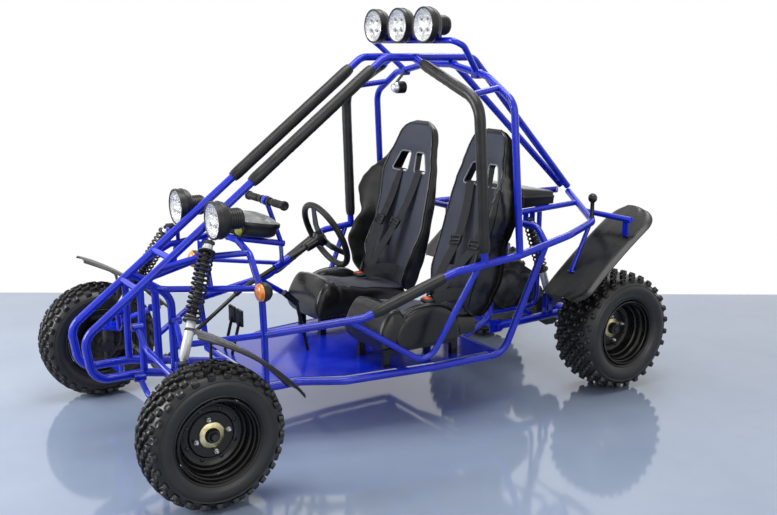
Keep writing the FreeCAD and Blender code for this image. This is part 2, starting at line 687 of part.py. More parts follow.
upper_arm = wishbone(s.upper_pivot, s.upper_ball, 80)
lower_arm = wishbone(s.lower_pivot, s.lower_ball, 60)
arm_line = [vec(s.arm_half, 0, s.upper_pivot), vec(s.kingpin_half, 0, s.upper_ball)]
shock_arm = along(arm_line, "x", s.kingpin_half - s.front_shock_inset)
front_shock_foot = vec(shock_arm.x, front_y + 5, shock_arm.z + 31.6)
foot_ears = ears(front_shock_foot.z - 66, front_shock_foot.z + 12, front_shock_foot, 30)
upper_arm = joined([upper_arm] + foot_ears)
arms = []
for arm, ball_z in ((upper_arm, s.upper_ball), (lower_arm, s.lower_ball)):
    socket = bar(vec(s.kingpin_half, front_y, ball_z - 13), vec(s.kingpin_half, front_y, ball_z + 13), 19)
    room_low = vec(s.kingpin_half, front_y, ball_z + 13)
    upright_room = bar(room_low, room_low + vec(0, 0, 27), 21)
    arms.append(joined([arm, socket]).cut(upright_room))
wishbones = pair(arms[0]) + pair(arms[1])
add_shape("wishbones", Part.makeCompound(wishbones), ["spine_tubes", "bulkhead_tubes"])


# Shock absorbers: a body, a coil over it and an eye at each end


def shock(top, bottom, body_radius, coil_radius):
    """Eyes across the vehicle's length, rod and body between them and the coil's outer form."""
    line = bottom - top
    length = line.Length
    line.normalize()
    coil_start = top + line * (length * 0.08)
    coil_end = top + line * (length * 0.62)
    pieces = [
        bar(coil_start, coil_end, coil_radius),
        bar(top, bottom, body_radius),
        bar(top - vec(0, shock_eye, 0), top + vec(0, shock_eye, 0), 15),
        bar(bottom - vec(0, shock_eye, 0), bottom + vec(0, shock_eye, 0), 15),
    ]
    return joined(pieces)


rear_shock_foot = vec(s.deck_half - 6, 905, 372)
shocks = pair(shock(front_shock_top, front_shock_foot, 17, 29))
shocks += pair(shock(rear_shock_top, rear_shock_foot, 15, 28))
add_shape("shocks", Part.makeCompound(shocks), ["nose_rails", "wishbones", "tail_frame"])

# Steering: wheel and column on one axis, lower shaft, rack and tie rods


def hoop_ring(centre, axis, radius, thickness):
    """A closed ring of round bar, mitred in equal steps."""
    count = 20
    corners = section(centre, axis, radius, count).Vertexes
    points = [vertex.Point for vertex in corners[:count]]
    middle = (points[0] + points[-1]) * 0.5
    loop = [middle] + points + [middle]
    ring = section(middle, points[0] - middle, thickness, 8)
    return Part.makePolygon(loop).makePipeShell([ring], True, False, 1)


tilt = math.radians(s.wheel_angle)
down = vec(0, -math.cos(tilt), -math.sin(tilt))
wheel_centre = vec(-s.wheel_side, -s.wheel_back, s.wheel_height)
ring = hoop_ring(wheel_centre, down, s.wheel_radius, s.wheel_rim)
hub_disc = bar(wheel_centre + down * 18, wheel_centre + down * 46, 34)
spokes = []
for angle in (90, 210, 330):
    out = math.radians(angle)
    up = vec(0, -math.sin(tilt), math.cos(tilt))
    reach = vec(math.cos(out), 0, 0) + up * math.sin(out)
    spokes.append(bar(wheel_centre + down * 30, wheel_centre + reach * s.wheel_radius, 9))
joint_at = wheel_centre + down * 470
column_end = joint_at - down * 2
knuckle_ball = turned(joint_at, [(-7, 3), (-4, 7), (4, 7), (7, 3)], 10, along_vehicle, False)
column = bar(wheel_centre + down * 30, column_end, 11)
add_shape("steering_wheel", joined([ring, hub_disc, column, knuckle_ball] + spokes))

# Column bracket: a sleeve round the column on two stays from the cowl
sleeve_at = wheel_centre + down * 250
sleeve = bar(sleeve_at - down * 40, sleeve_at + down * 40, 20)
stay_high = [dash_tube[1] + vec(0, -14, 0), sleeve_at]
stay_low = [along(flipped(cowl_left), "z", 640), sleeve_at]
bracket = joined([sleeve, tube(stay_high, s.light_dia), tube(stay_low, s.light_dia)])
bracket = bracket.cut(bore(sleeve_at - down * 200, sleeve_at + down * 200, 11.5))
add_shape("column_bracket", bracket, ["cowl_hoop"])

rack_y = front_y + s.knuckle_arm
pinion_at = vec(-150, rack_y, s.rack_height)
shaft_line = joint_at - pinion_at
shaft_axis = vec(shaft_line.x, shaft_line.y, shaft_line.z).normalize()
lower_shaft = joined([
    bar(pinion_at + shaft_axis * 34, joint_at - shaft_axis * 8, 9),
    bar(joint_at - shaft_axis * 40, joint_at - shaft_axis * 8, 13),
])
add_shape("lower_shaft", lower_shaft)

rack_bar = bar(vec(-250, rack_y, s.rack_height), vec(250, rack_y, s.rack_height), 11)
tie_rods = []
for side in (-1, 1):
    inner = vec(side * 240, rack_y, s.rack_height)
    outer = vec(side * s.kingpin_half, rack_y, s.rack_height)
    tie_rods.append(bar(inner, outer, 8))
    tie_rods.append(bar(outer - vec(0, 0, 6), outer + vec(0, 0, 6), 14))
add_shape("steering_rack", joined([rack_bar] + tie_rods))

rack_case = bar(vec(-185, rack_y, s.rack_height), vec(185, rack_y, s.rack_height), 20)
pinion_case = bar(pinion_at, pinion_at + shaft_axis * 56, 18)
shaft_bore = bore(pinion_at + shaft_axis * 33, pinion_at + shaft_axis * 80, 9.5)
case_bore = bore(vec(-200, rack_y, s.rack_height), vec(200, rack_y, s.rack_height), 11.5)
add_shape("rack_housing", joined([rack_case, pinion_case]).cut(case_bore).cut(shaft_bore), ["spine_tubes"])

# Seats: cushion and reclined back with bolsters either side


def seat(side):
    """A bucket seat in side profile: the middle is set back, the bolsters stand proud of it."""
    front = -s.seat_front
    middle = [
        (front + 10, s.seat_low), (front, s.cushion_top - 10), (front + 40, s.cushion_top + 12),
        (s.back_foot - 60, s.cushion_top - 62), (s.back_top_y - s.back_thickness + 10, s.back_top_z),
        (s.back_top_y + 5, s.back_top_z - 6), (s.back_foot + 62, s.seat_low + 30),
        (s.back_foot + 20, s.seat_low),
    ]
    raised = [
        (front + 20, s.seat_low), (front + 10, s.cushion_top - 20), (front + 60, s.cushion_top + 34),
        (s.back_foot - 140, s.cushion_top + 6), (s.back_foot - 100, s.cushion_top + 100),
        (s.back_foot - 30, s.cushion_top + 400), (s.back_top_y - s.back_thickness - 20, s.back_top_z - 150),
        (s.back_top_y - 20, s.back_top_z - 160), (s.back_foot + 62, s.seat_low + 30),
        (s.back_foot + 20, s.seat_low),
    ]
    centre = side * s.seat_half
    core_width = s.seat_width - 2 * s.bolster_width
    side_width = (s.cushion_width - core_width) / 2 + 20
    hips = raised[:4] + raised[-2:]
    wings = raised[3:9]
    solids = []
    for corners, start, width in (
        (middle, centre - core_width / 2, core_width),
        (hips, centre - s.cushion_width / 2, side_width),
        (hips, centre + s.cushion_width / 2 - side_width, side_width),
        (wings, centre - s.seat_width / 2, s.bolster_width),
        (wings, centre + s.seat_width / 2 - s.bolster_width, s.bolster_width),
    ):
        face = Part.Face(Part.makePolygon([vec(start, y, z) for y, z in corners + corners[:1]]))
        solids.append(face.extrude(vec(width, 0, 0)))
    half_hip = s.cushion_width / 2 + 2
    half_wing = s.seat_width / 2
    left_edge = [
        (half_hip, s.seat_low - 10), (half_hip, s.cushion_top + 20), (half_wing - 5, s.cushion_top + 140),
        (half_wing - 10, s.cushion_top + 215), (half_wing - 38, s.cushion_top + 300),
        (half_wing, s.cushion_top + 390), (half_wing - 4, s.cushion_top + 465), (198, s.back_top_z - 195),
        (152, s.back_top_z - 130), (140, s.back_top_z - 70), (112, s.back_top_z - 25),
        (66, s.back_top_z + 10),
    ]
    front_outline = [vec(centre + x, -500, z) for x, z in left_edge]
    front_outline += [vec(centre - x, -500, z) for x, z in left_edge[::-1]]
    trim = Part.Face(Part.makePolygon(front_outline + front_outline[:1])).extrude(vec(0, 1200, 0))
    shell = joined(solids).common(trim)
    slot_low, slot_high = s.back_top_z - 250, s.back_top_z - 145
    for slot in (-1, 1):
        corners = ((50, slot_low), (132, slot_low), (88, slot_high), (32, slot_high))
        edge = [vec(centre + slot * x, s.back_top_y - 200, z) for x, z in corners]
        shell = shell.cut(Part.Face(Part.makePolygon(edge + edge[:1])).extrude(vec(0, 300, 0)))
    return shell


add_shape("seat_left", seat(1))
add_shape("seat_right", seat(-1))

# Seat rails: two low bridges under each seat, standing on the floor pan
pan_top = s.floor_height + s.brace_dia / 2 + 3.3
rail_profile = [
    (-150, pan_top + 0.3), (-120, pan_top + 0.3), (-120, s.seat_low - 22), (190, s.seat_low - 22),
    (190, pan_top + 0.3), (220, pan_top + 0.3), (220, s.seat_low - 0.3), (-150, s.seat_low - 0.3),
]
seat_rails = []
for x in (s.seat_half - 110, s.seat_half + 85):
    face = Part.Face(Part.makePolygon([vec(x, y, z) for y, z in rail_profile + rail_profile[:1]]))
    seat_rails += pair(face.extrude(vec(25, 0, 0)))
add_shape("seat_rails", Part.makeCompound(seat_rails))

# Lamps: headlights beside the nose tubes and three lamps on the roof bar


LAMP_SIDES = 20


def lamp(front):
    """A round lamp with its lens facing forward, a tapered shell and a rear cap."""
    profile = [
        (0, s.lamp_radius), (34, s.lamp_radius), (s.lamp_depth, s.lamp_radius * 0.55), (s.lamp_depth, 26),
        (s.lamp_depth + s.lamp_cap, 26),
    ]
    return turned(front, profile, LAMP_SIDES, along_vehicle, False)


lamps = []
for side in (-1, 1):
    lens = vec(side * s.headlight_half, -s.headlight_front, s.headlight_height)
    stalk_low = slope_at(-s.headlight_front + 60)
    stalk_low = vec(side * stalk_low.x, stalk_low.y, stalk_low.z)
    stalk = bar(stalk_low, lens + vec(0, 52, -30), 8)
    lamps.append(joined([lamp(lens), stalk]))
for place in (-1, 0, 1):
    lens = vec(place * s.roof_lamp_pitch, s.roof_lamp_back, s.roof_lamp_height)
    stalk = bar(vec(lens.x, s.lamp_bar_back, s.lamp_bar_height), lens + vec(0, 60, 0), 8)
    lamps.append(joined([lamp(lens), stalk]))
add_shape("lamps", Part.makeCompound(lamps), ["lamp_bar", "spine_tubes"])

# Turn signals: two on the cowl legs facing forward, two balls on stalks at the tail corners
signals = []
cowl_leg = along(cowl_left, "z", 585)
for side in (-1, 1):
    seat_at = vec(side * cowl_leg.x, cowl_leg.y, cowl_leg.z)
    signals.append(bar(seat_at, seat_at + vec(0, -52, 0), 22))
    foot = along(side_rail[5:], "x", 412)
    foot = vec(side * foot.x, foot.y, foot.z)
    stalk = bar(foot, foot + vec(0, 0, 85), 11)
    ball_profile = [(-20, 10), (-12, 19), (0, 23), (12, 19), (20, 10)]
    ball = turned(foot + vec(0, 0, 100), ball_profile, 12, along_vehicle, False)
    signals.append(joined([stalk, ball]))
add_shape("turn_signals", Part.makeCompound(signals), ["cowl_hoop", "side_rails"])

# Instrument hood under the centre tubes, and the passenger's grab handle
hood = new_body("instrument_hood")
hood_low = 805.3
hood_rise = min(1, (slope_at(ahead(650)).z - 20 - hood_low) / 137)
hood_corners = []
hood_profile = ((672, 0), (668, 75), (650, 100), (602, 69), (447, -28), (454, -46), (600, 13), (648, 0))
for station, rise in hood_profile:
    height = hood_low + rise * (hood_rise if rise > 0 else 1)
    hood_corners.append((str(round(ahead(station), 3)), str(round(height, 3))))
pad(hood, "YZ_Plane", hood_corners, "2 * Sizes.spine_half + 60", "hood_shell")
add_body("instrument_hood", hood)

grab_at = vec(0, ahead(480), slope_at(ahead(480)).z - 173.1)
grab_stem_low = vec(0, ahead(418), 744)
grip_start, grip_length = 72, 100
grab = joined([
    bar(grab_at - vec(grip_start + 20, 0, 0), grab_at + vec(grip_start + 20, 0, 0), 10),
    Part.makeCylinder(s.grip_radius, grip_length, grab_at + vec(grip_start, 0, 0), vec(1, 0, 0)),
    Part.makeCylinder(s.grip_radius, grip_length, grab_at - vec(grip_start, 0, 0), vec(-1, 0, 0)),
    bar(grab_at, grab_stem_low, 10),
])
add_shape("grab_handle", grab, ["cowl_hoop", "spine_tubes"])

# Pedals and hand levers
pedals = []
for x in (-195, -118):
    foot = vec(x, ahead(600), pan_top + 0.2)
    pedals.append(joined([
        bar(foot, foot + vec(0, 40, 150), 7),
        Part.makeBox(56, 10, 70, vec(x - 28, foot.y + 34, foot.z + 120)),
    ]))
lever = joined([
    bar(vec(0, ahead(300), pan_top + 0.2), vec(0, ahead(350), 470), 8),
    bar(vec(0, ahead(350), 470), vec(0, ahead(408), 524), 14),
])
add_shape("controls", Part.makeCompound(pedals + [lever]), ["floor_pan", "floor_frame"])

# Engine: crankcase, finned barrel and drive cover
engine = new_body("engine")
half_width = "Sizes.engine_width / 2"
back = "Sizes.engine_back"
low = "Sizes.engine_low"
case_corners = [
    (back, low), (back + " + Sizes.engine_length - 45", low),
    (back + " + Sizes.engine_length", low + " + 45"),
    (back + " + Sizes.engine_length", low + " + Sizes.engine_height * 0.7"),
    (back + " + Sizes.engine_length * 0.6", low + " + Sizes.engine_height"),
    (back, low + " + Sizes.engine_height"),
]
pad(engine, "YZ_Plane", case_corners, "Sizes.engine_width", "crankcase")
barrel_low = low + " + Sizes.engine_height - 5"
barrel_corners = [
    ("-50", barrel_low), ("50", barrel_low), ("50", barrel_low + " + 150"), ("-50", barrel_low + " + 150"),
]
pad(engine, "XZ_Plane", barrel_corners, "100", "barrel", "-(Sizes.engine_back + 70)")
fin_low = low + " + Sizes.engine_height + 12"
fin_corners = [
    ("-68", fin_low), ("68", fin_low),
    ("68", fin_low + " + Sizes.fin_thickness"), ("-68", fin_low + " + Sizes.fin_thickness"),
]
fin = pad(engine, "XZ_Plane", fin_corners, "132", "fin", "-(Sizes.engine_back + 70)")
fins = engine.newObject("PartDesign::LinearPattern", "fins")
fins.Originals = [fin]
z_axis = [item for item in engine.Origin.OriginFeatures if item.Role == "Z_Axis"][0]
fins.Direction = (z_axis, [""])
fins.setExpression("Length", "Sizes.fin_pitch * 6")
fins.Occurrences = 7
engine.Tip = fins
doc.recompute()
add_body("engine", engine)

# Air box behind the seats
airbox = new_body("air_box")
box_front = "Sizes.airbox_front"
deck_top = s.brace_dia / 2 * math.cos(math.pi / TUBE_SIDES) + 0.4
seat_rows = (
    ("airbox_low", along(deck, "y", s.airbox_front).z + deck_top),
    ("airbox_low_back", along(deck, "y", s.airbox_front + s.airbox_length).z + deck_top),
)
for row, (alias, number) in enumerate(seat_rows, len(SIZES) + 1):
    sheet.set("A%d" % row, alias)
    sheet.set("B%d" % row, str(round(number, 3)))
    sheet.setAlias("B%d" % row, alias)
doc.recompute()
box_low = "Sizes.airbox_low"
box_corners = [
    (box_front, box_low), (box_front + " + Sizes.airbox_length", "Sizes.airbox_low_back"),
    (box_front + " + Sizes.airbox_length", box_low + " + Sizes.airbox_height * 0.75"),
    (box_front + " + 20", box_low + " + Sizes.airbox_height"),
    (box_front, box_low + " + Sizes.airbox_height - 12"),
]
pad(airbox, "YZ_Plane", box_corners, "2 * Sizes.airbox_half", "box")
add_body("air_box", airbox)

# Rear axle with its hubs, sprocket and brake disc
rear_face = rear_hub.x + rear_disc - s.disc_thickness / 2
axle_end = vec(rear_face - 9, rear_y, rear_hub.z)
sprocket_at = vec(s.sprocket_side, rear_y, rear_hub.z)
brake_at = vec(-s.sprocket_side, rear_y, rear_hub.z)
axle_parts = [bar(vec(-axle_end.x, axle_end.y, axle_end.z), axle_end, s.axle_radius)]
axle_parts += pair(hub(rear_hub, rear_disc, rear_face - 60))
axle_parts.append(bar(sprocket_at, sprocket_at + vec(8, 0, 0), s.sprocket_radius))
axle_parts.append(bar(brake_at - vec(6, 0, 0), brake_at, s.brake_radius))
add_shape("rear_axle", joined(axle_parts))

# Swing arm: two legs from the pivot tube to the bearing housings
arm_pivot = pivot_at
housing = vec(165, rear_y, rear_hub.z)
leg = tube([vec(arm_pivot.x - 30, arm_pivot.y, arm_pivot.z), housing], s.tube_dia + 6)
bearing = bar(housing - vec(28, 0, 0), housing + vec(28, 0, 0), 40)
pivot_bar = bar(vec(-arm_pivot.x, arm_pivot.y, arm_pivot.z), arm_pivot, 17)
tie_bar = bar(vec(-170, 800, 292), vec(170, 800, 292), 14)
shock_ears = ears(272, rear_shock_foot.z + 12, vec(rear_shock_foot.x - 4, rear_shock_foot.y, 0), 30)
swing = joined(pair(joined([leg, bearing] + shock_ears)) + [pivot_bar, tie_bar])
swing = swing.cut(bore(vec(-250, rear_y, rear_hub.z), vec(250, rear_y, rear_hub.z), s.axle_radius + 0.4))
add_shape("swing_arm", swing, ["tail_frame", "shocks"])

# Rear mudguards on a cross bar at the tail corners
rear_arc = ((700, 462), (925, 656), (1165, 822))
rear_guard = mudguard(rear_arc, s.fender_inner, s.fender_outer)
add_shape("rear_fenders", Part.makeCompound(pair(rear_guard)))
bar_start = along(side_rail[5:], "y", 1000)
bar_end = vec(592, 1000, bar_start.z)
tab_low = guard_height(rear_arc, 1000, 0) - 4
tab = Part.makeBox(34, 8, bar_end.z - tab_low, vec(545, 996, tab_low))
strut_top = along(side_rail[4:], "y", 900)
strut_low = vec(strut_top.x, 800, guard_height(rear_arc, 800, 0) - 4)
cross_bar = joined([tube([bar_start, bar_end], s.brace_dia), tab]).Solids[0]
strut = tube([strut_top, strut_low], s.light_dia)
fender_bars = Part.makeCompound(pair(cross_bar) + pair(strut))
add_shape("fender_bars", fender_bars, ["side_rails", "rear_fenders"])

# Silencer beside the air box
muffler = bar(vec(-285, 830, 640), vec(-285, 1060, 660), 45)
pipe = tube([vec(-40, 670, 600), vec(-130, 670, 610), vec(-285, 750, 636), vec(-285, 840, 641)], 32, 40)
add_shape("exhaust", joined([muffler, pipe]), ["tail_frame", "engine"])

# Cabin lamp on a stalk under the roof
cabin_lamp_at = vec(-200, 278, s.roof_height - 138)
cabin_stalk = bar(cabin_lamp_at, along(flipped(main_left[::-1]), "x", -260), 7)
cabin_body = bar(cabin_lamp_at - vec(0, 24, 0), cabin_lamp_at + vec(0, 24, 0), 28)
add_shape("cabin_lamp", joined([cabin_body, cabin_stalk]), ["main_hoop"])

# Check every object, then write one file for each node

doc.recompute()
problems = []
for item in doc.Objects:
    if "Invalid" in item.State or "Error" in item.State:
        problems.append("%s is %s" % (item.Name, item.State))
for name, item in nodes.items():
    if item.Shape.isNull() or not item.Shape.isValid():
        problems.append("%s has no valid shape" % name)
if problems:
    raise RuntimeError("; ".join(problems))

os.makedirs("parts", exist_ok=True)
for name, item in nodes.items():
    item.Shape.exportStep(os.path.join("parts", name + ".step"))
    print("%-20s %2d solids %10.0f mm3" % (name, len(item.Shape.Solids), item.Shape.Volume))
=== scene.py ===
import random
from math import atan2, copysign, cos, degrees, exp, hypot, pi, radians, sin, sqrt, tan

import bpy
from mathutils import Matrix, Vector, noise


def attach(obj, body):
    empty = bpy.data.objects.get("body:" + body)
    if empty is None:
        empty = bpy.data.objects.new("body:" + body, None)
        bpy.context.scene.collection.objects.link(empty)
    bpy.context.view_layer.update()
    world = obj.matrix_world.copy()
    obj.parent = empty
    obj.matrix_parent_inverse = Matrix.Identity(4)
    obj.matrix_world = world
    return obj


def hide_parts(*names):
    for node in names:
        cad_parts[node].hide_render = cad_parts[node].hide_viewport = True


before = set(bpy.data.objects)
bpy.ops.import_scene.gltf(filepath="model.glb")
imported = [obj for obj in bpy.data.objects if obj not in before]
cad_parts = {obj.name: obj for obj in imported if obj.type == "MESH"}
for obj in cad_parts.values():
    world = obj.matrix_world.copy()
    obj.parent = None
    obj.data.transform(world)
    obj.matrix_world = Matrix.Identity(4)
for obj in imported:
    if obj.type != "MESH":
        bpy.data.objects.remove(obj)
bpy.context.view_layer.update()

# The object is drawn in millimetres and scaled to metres as each piece is made
MM = 0.001
X = Vector((1, 0, 0))
Y = Vector((0, 1, 0))
Z = Vector((0, 0, 1))


def vec(x, y, z):
    return Vector((x, y, z))


def flipped(points):
    return [vec(-p.x, p.y, p.z) for p in points]


def along(points, axis, value):
    """The point of a route where x, y or z has the value."""
    k = "xyz".index(axis)
    for a, b in zip(points, points[1:]):
        if a[k] != b[k] and min(a[k], b[k]) <= value <= max(a[k], b[k]):
            return a + (b - a) * ((value - a[k]) / (b[k] - a[k]))
    return min((points[0], points[-1]), key=lambda p: abs(p[k] - value)).copy()


# Materials


def fill(node, values):
    for name, value in values.items():
        node.inputs[name].default_value = value
    return node


def new_material(name, values):
    mat = bpy.data.materials.new(name)
    mat.use_nodes = True
    return mat, mat.node_tree, fill(mat.node_tree.nodes["Principled BSDF"], values)


def add_node(tree, kind, values):
    return fill(tree.nodes.new("ShaderNode" + kind), values)


def link(tree, out, to):
    tree.links.new(out, to)


def noise_node(tree, scale, detail=4, rough=0.6):
    coords = add_node(tree, "TexCoord", {})
    node = add_node(tree, "TexNoise", {"Scale": scale, "Detail": detail, "Roughness": rough})
    link(tree, coords.outputs["Object"], node.inputs["Vector"])
    return node


def ramp(tree, source, low, high, start=0.35, end=0.65):
    node = add_node(tree, "ValToRGB", {})
    for element, place, colour in zip(node.color_ramp.elements, (start, end), (low, high)):
        element.position = place
        element.color = (*colour, 1)
    link(tree, source, node.inputs["Fac"])
    return node.outputs["Color"]


def spread(tree, source, low, high):
    node = add_node(tree, "MapRange", {"From Min": 0.3, "From Max": 0.7, "To Min": low, "To Max": high})
    link(tree, source, node.inputs["Value"])
    return node.outputs["Result"]


def add_bump(tree, shader, height, strength, distance):
    node = add_node(tree, "Bump", {"Strength": strength, "Distance": distance})
    link(tree, height, node.inputs["Height"])
    link(tree, node.outputs["Normal"], shader.inputs["Normal"])


def surface(name, low, high, rough, patch, grain, bump, metal=0.0, coat=0.0, depth=0.0004, gloss=0.5):
    """A finish with colour that drifts, roughness that drifts with it and a fine grain."""
    values = {"Specular IOR Level": gloss, "Metallic": metal, "Coat Weight": coat, "Coat Roughness": 0.08}
    mat, tree, shader = new_material(name, values)
    drift = noise_node(tree, patch)
    fine = noise_node(tree, grain, 6, 0.7)
    link(tree, ramp(tree, drift.outputs["Fac"], low, high), shader.inputs["Base Color"])
    link(tree, spread(tree, drift.outputs["Fac"], *rough), shader.inputs["Roughness"])
    add_bump(tree, shader, fine.outputs["Fac"], bump, depth)
    return mat


def weave(name, low, high, pitch):
    """Cloth with two thread directions crossing at a slant."""
    mat, tree, shader = new_material(name, {"Sheen Weight": 0.2})
    coords = add_node(tree, "TexCoord", {})
    mix = add_node(tree, "Math", {})
    mix.operation = "MULTIPLY"
    for thread, angle in enumerate((45, -45)):
        turn = add_node(tree, "Mapping", {"Rotation": (0, radians(angle), 0)})
        wave = add_node(tree, "TexWave", {"Scale": 1 / pitch, "Distortion": 0.3})
        link(tree, coords.outputs["Object"], turn.inputs["Vector"])
        link(tree, turn.outputs["Vector"], wave.inputs["Vector"])
        link(tree, wave.outputs["Fac"], mix.inputs[thread])
    drift = noise_node(tree, 14)
    shade = add_node(tree, "Math", {})
    shade.operation = "MULTIPLY_ADD"
    shade.inputs[1].default_value = 0.35
    link(tree, drift.outputs["Fac"], shade.inputs[0])
    link(tree, mix.outputs[0], shade.inputs[2])
    link(tree, ramp(tree, shade.outputs[0], low, high, 0.1, 1.0), shader.inputs["Base Color"])
    link(tree, spread(tree, drift.outputs["Fac"], 0.5, 0.7), shader.inputs["Roughness"])
    add_bump(tree, shader, mix.outputs[0], 0.5, 0.0006)
    return mat


BLUE = surface(
    "blue_paint", (0.003, 0.014, 0.48), (0.008, 0.03, 0.64), (0.16, 0.28), 7, 90, 0.05, coat=0.3, gloss=0.35)
BLACK_PAINT = surface(
    "black_paint", (0.003, 0.003, 0.003), (0.008, 0.008, 0.008), (0.18, 0.34), 12, 160, 0.08, coat=0.12,
    gloss=0.3)
FOAM = surface(
    "foam", (0.004, 0.004, 0.004), (0.011, 0.011, 0.01), (0.27, 0.45), 16, 900, 0.4, depth=0.0005,
    gloss=0.45)
VINYL = surface(
    "vinyl", (0.004, 0.004, 0.004), (0.01, 0.01, 0.009), (0.22, 0.38), 10, 1100, 0.35, coat=0.12, gloss=0.42)
WOVEN = weave("woven_cloth", (0.006, 0.009, 0.019), (0.042, 0.058, 0.108), 0.0045)
WEBBING = surface(
    "webbing", (0.008, 0.009, 0.011), (0.026, 0.028, 0.034), (0.55, 0.8), 40, 1500, 0.5, gloss=0.3)
RUBBER = surface(
    "tyre_rubber", (0.0045, 0.0045, 0.0042), (0.013, 0.0125, 0.0115), (0.26, 0.46), 14, 500, 0.3,
    depth=0.0005, gloss=0.5)
GRIP = surface(
    "grip_rubber", (0.005, 0.005, 0.005), (0.014, 0.014, 0.014), (0.36, 0.56), 20, 700, 0.3, gloss=0.3)
PLASTIC = surface(
    "moulded_plastic", (0.006, 0.006, 0.006), (0.016, 0.016, 0.015), (0.24, 0.42), 6, 900, 0.25,
    depth=0.0003, gloss=0.4)
# Black guard plastic with a little painted sheen: its base is a touch lighter and greener than the moulded
# plastic's
GUARD_WITH_SHEEN = surface(
    "mudguard_plastic_painted_sheen", (0.008, 0.0085, 0.0075), (0.02, 0.021, 0.018), (0.24, 0.4), 5, 900, 0.2,
    depth=0.0003, gloss=0.36)
ZINC = surface("bright_zinc", (0.42, 0.42, 0.43), (0.68, 0.68, 0.69), (0.22, 0.42), 30, 300, 0.15, metal=1)
BRASS = surface("yellow_zinc", (0.42, 0.36, 0.17), (0.75, 0.68, 0.42), (0.22, 0.42), 30, 300, 0.2, metal=1)
SILVER = surface(
    "silver_paint", (0.55, 0.56, 0.57), (0.72, 0.73, 0.74), (0.25, 0.4), 16, 200, 0.08, metal=0.3, coat=0.3)
CAST = surface(
    "cast_alloy", (0.03, 0.03, 0.032), (0.1, 0.1, 0.105), (0.4, 0.65), 14, 260, 0.5, metal=0.8, depth=0.0009)
DARK_STEEL = surface(
    "dark_steel", (0.02, 0.02, 0.021), (0.06, 0.06, 0.062), (0.35, 0.6), 20, 300, 0.2, metal=0.7)
AMBER = surface("amber_lens", (0.85, 0.2, 0.01), (0.95, 0.34, 0.03), (0.08, 0.18), 30, 240, 0.3, coat=1)
RED = surface("red_button", (0.75, 0.08, 0.01), (0.85, 0.12, 0.02), (0.3, 0.45), 30, 300, 0.1, coat=0.2)
CHROME = surface("reflector", (0.84, 0.84, 0.84), (0.94, 0.94, 0.94), (0.2, 0.34), 25, 120, 0.05, metal=0.75)
GREY_DOME = surface("pale_grey_plastic", (0.28, 0.29, 0.28), (0.42, 0.43, 0.41), (0.22, 0.38), 8, 500, 0.15)
LIME = surface("lime_lens", (0.5, 0.55, 0.03), (0.66, 0.7, 0.08), (0.12, 0.25), 30, 240, 0.2, coat=0.6)
SLOT_FRAME = surface("slot_frame", (0.2, 0.2, 0.2), (0.34, 0.34, 0.33), (0.3, 0.45), 30, 300, 0.1)


def clear_lens():
    values = {
        "Base Color": (0.93, 0.95, 0.96, 1), "Roughness": 0.04, "Transmission Weight": 0.85, "Alpha": 0.45,
        "IOR": 1.3,
    }
    mat, tree, shader = new_material("clear_lens", values)
    add_bump(tree, shader, noise_node(tree, 140, 2).outputs["Fac"], 0.06, 0.0004)
    return mat


GLASS = clear_lens()

# Geometry


def look_inward(verts, faces):
    """Whether the faces round a solid look toward its inside, where their volume comes out below nought."""
    middle = sum(verts, Vector()) / len(verts)
    volume = 0.0
    for face in faces:
        first, *rest = [verts[k] - middle for k in face]
        volume += sum(first.dot(a.cross(b)) for a, b in zip(rest, rest[1:]))
    return volume < 0


def placed(name, data):
    item = bpy.data.objects.new(name, data)
    bpy.context.scene.collection.objects.link(item)
    return item


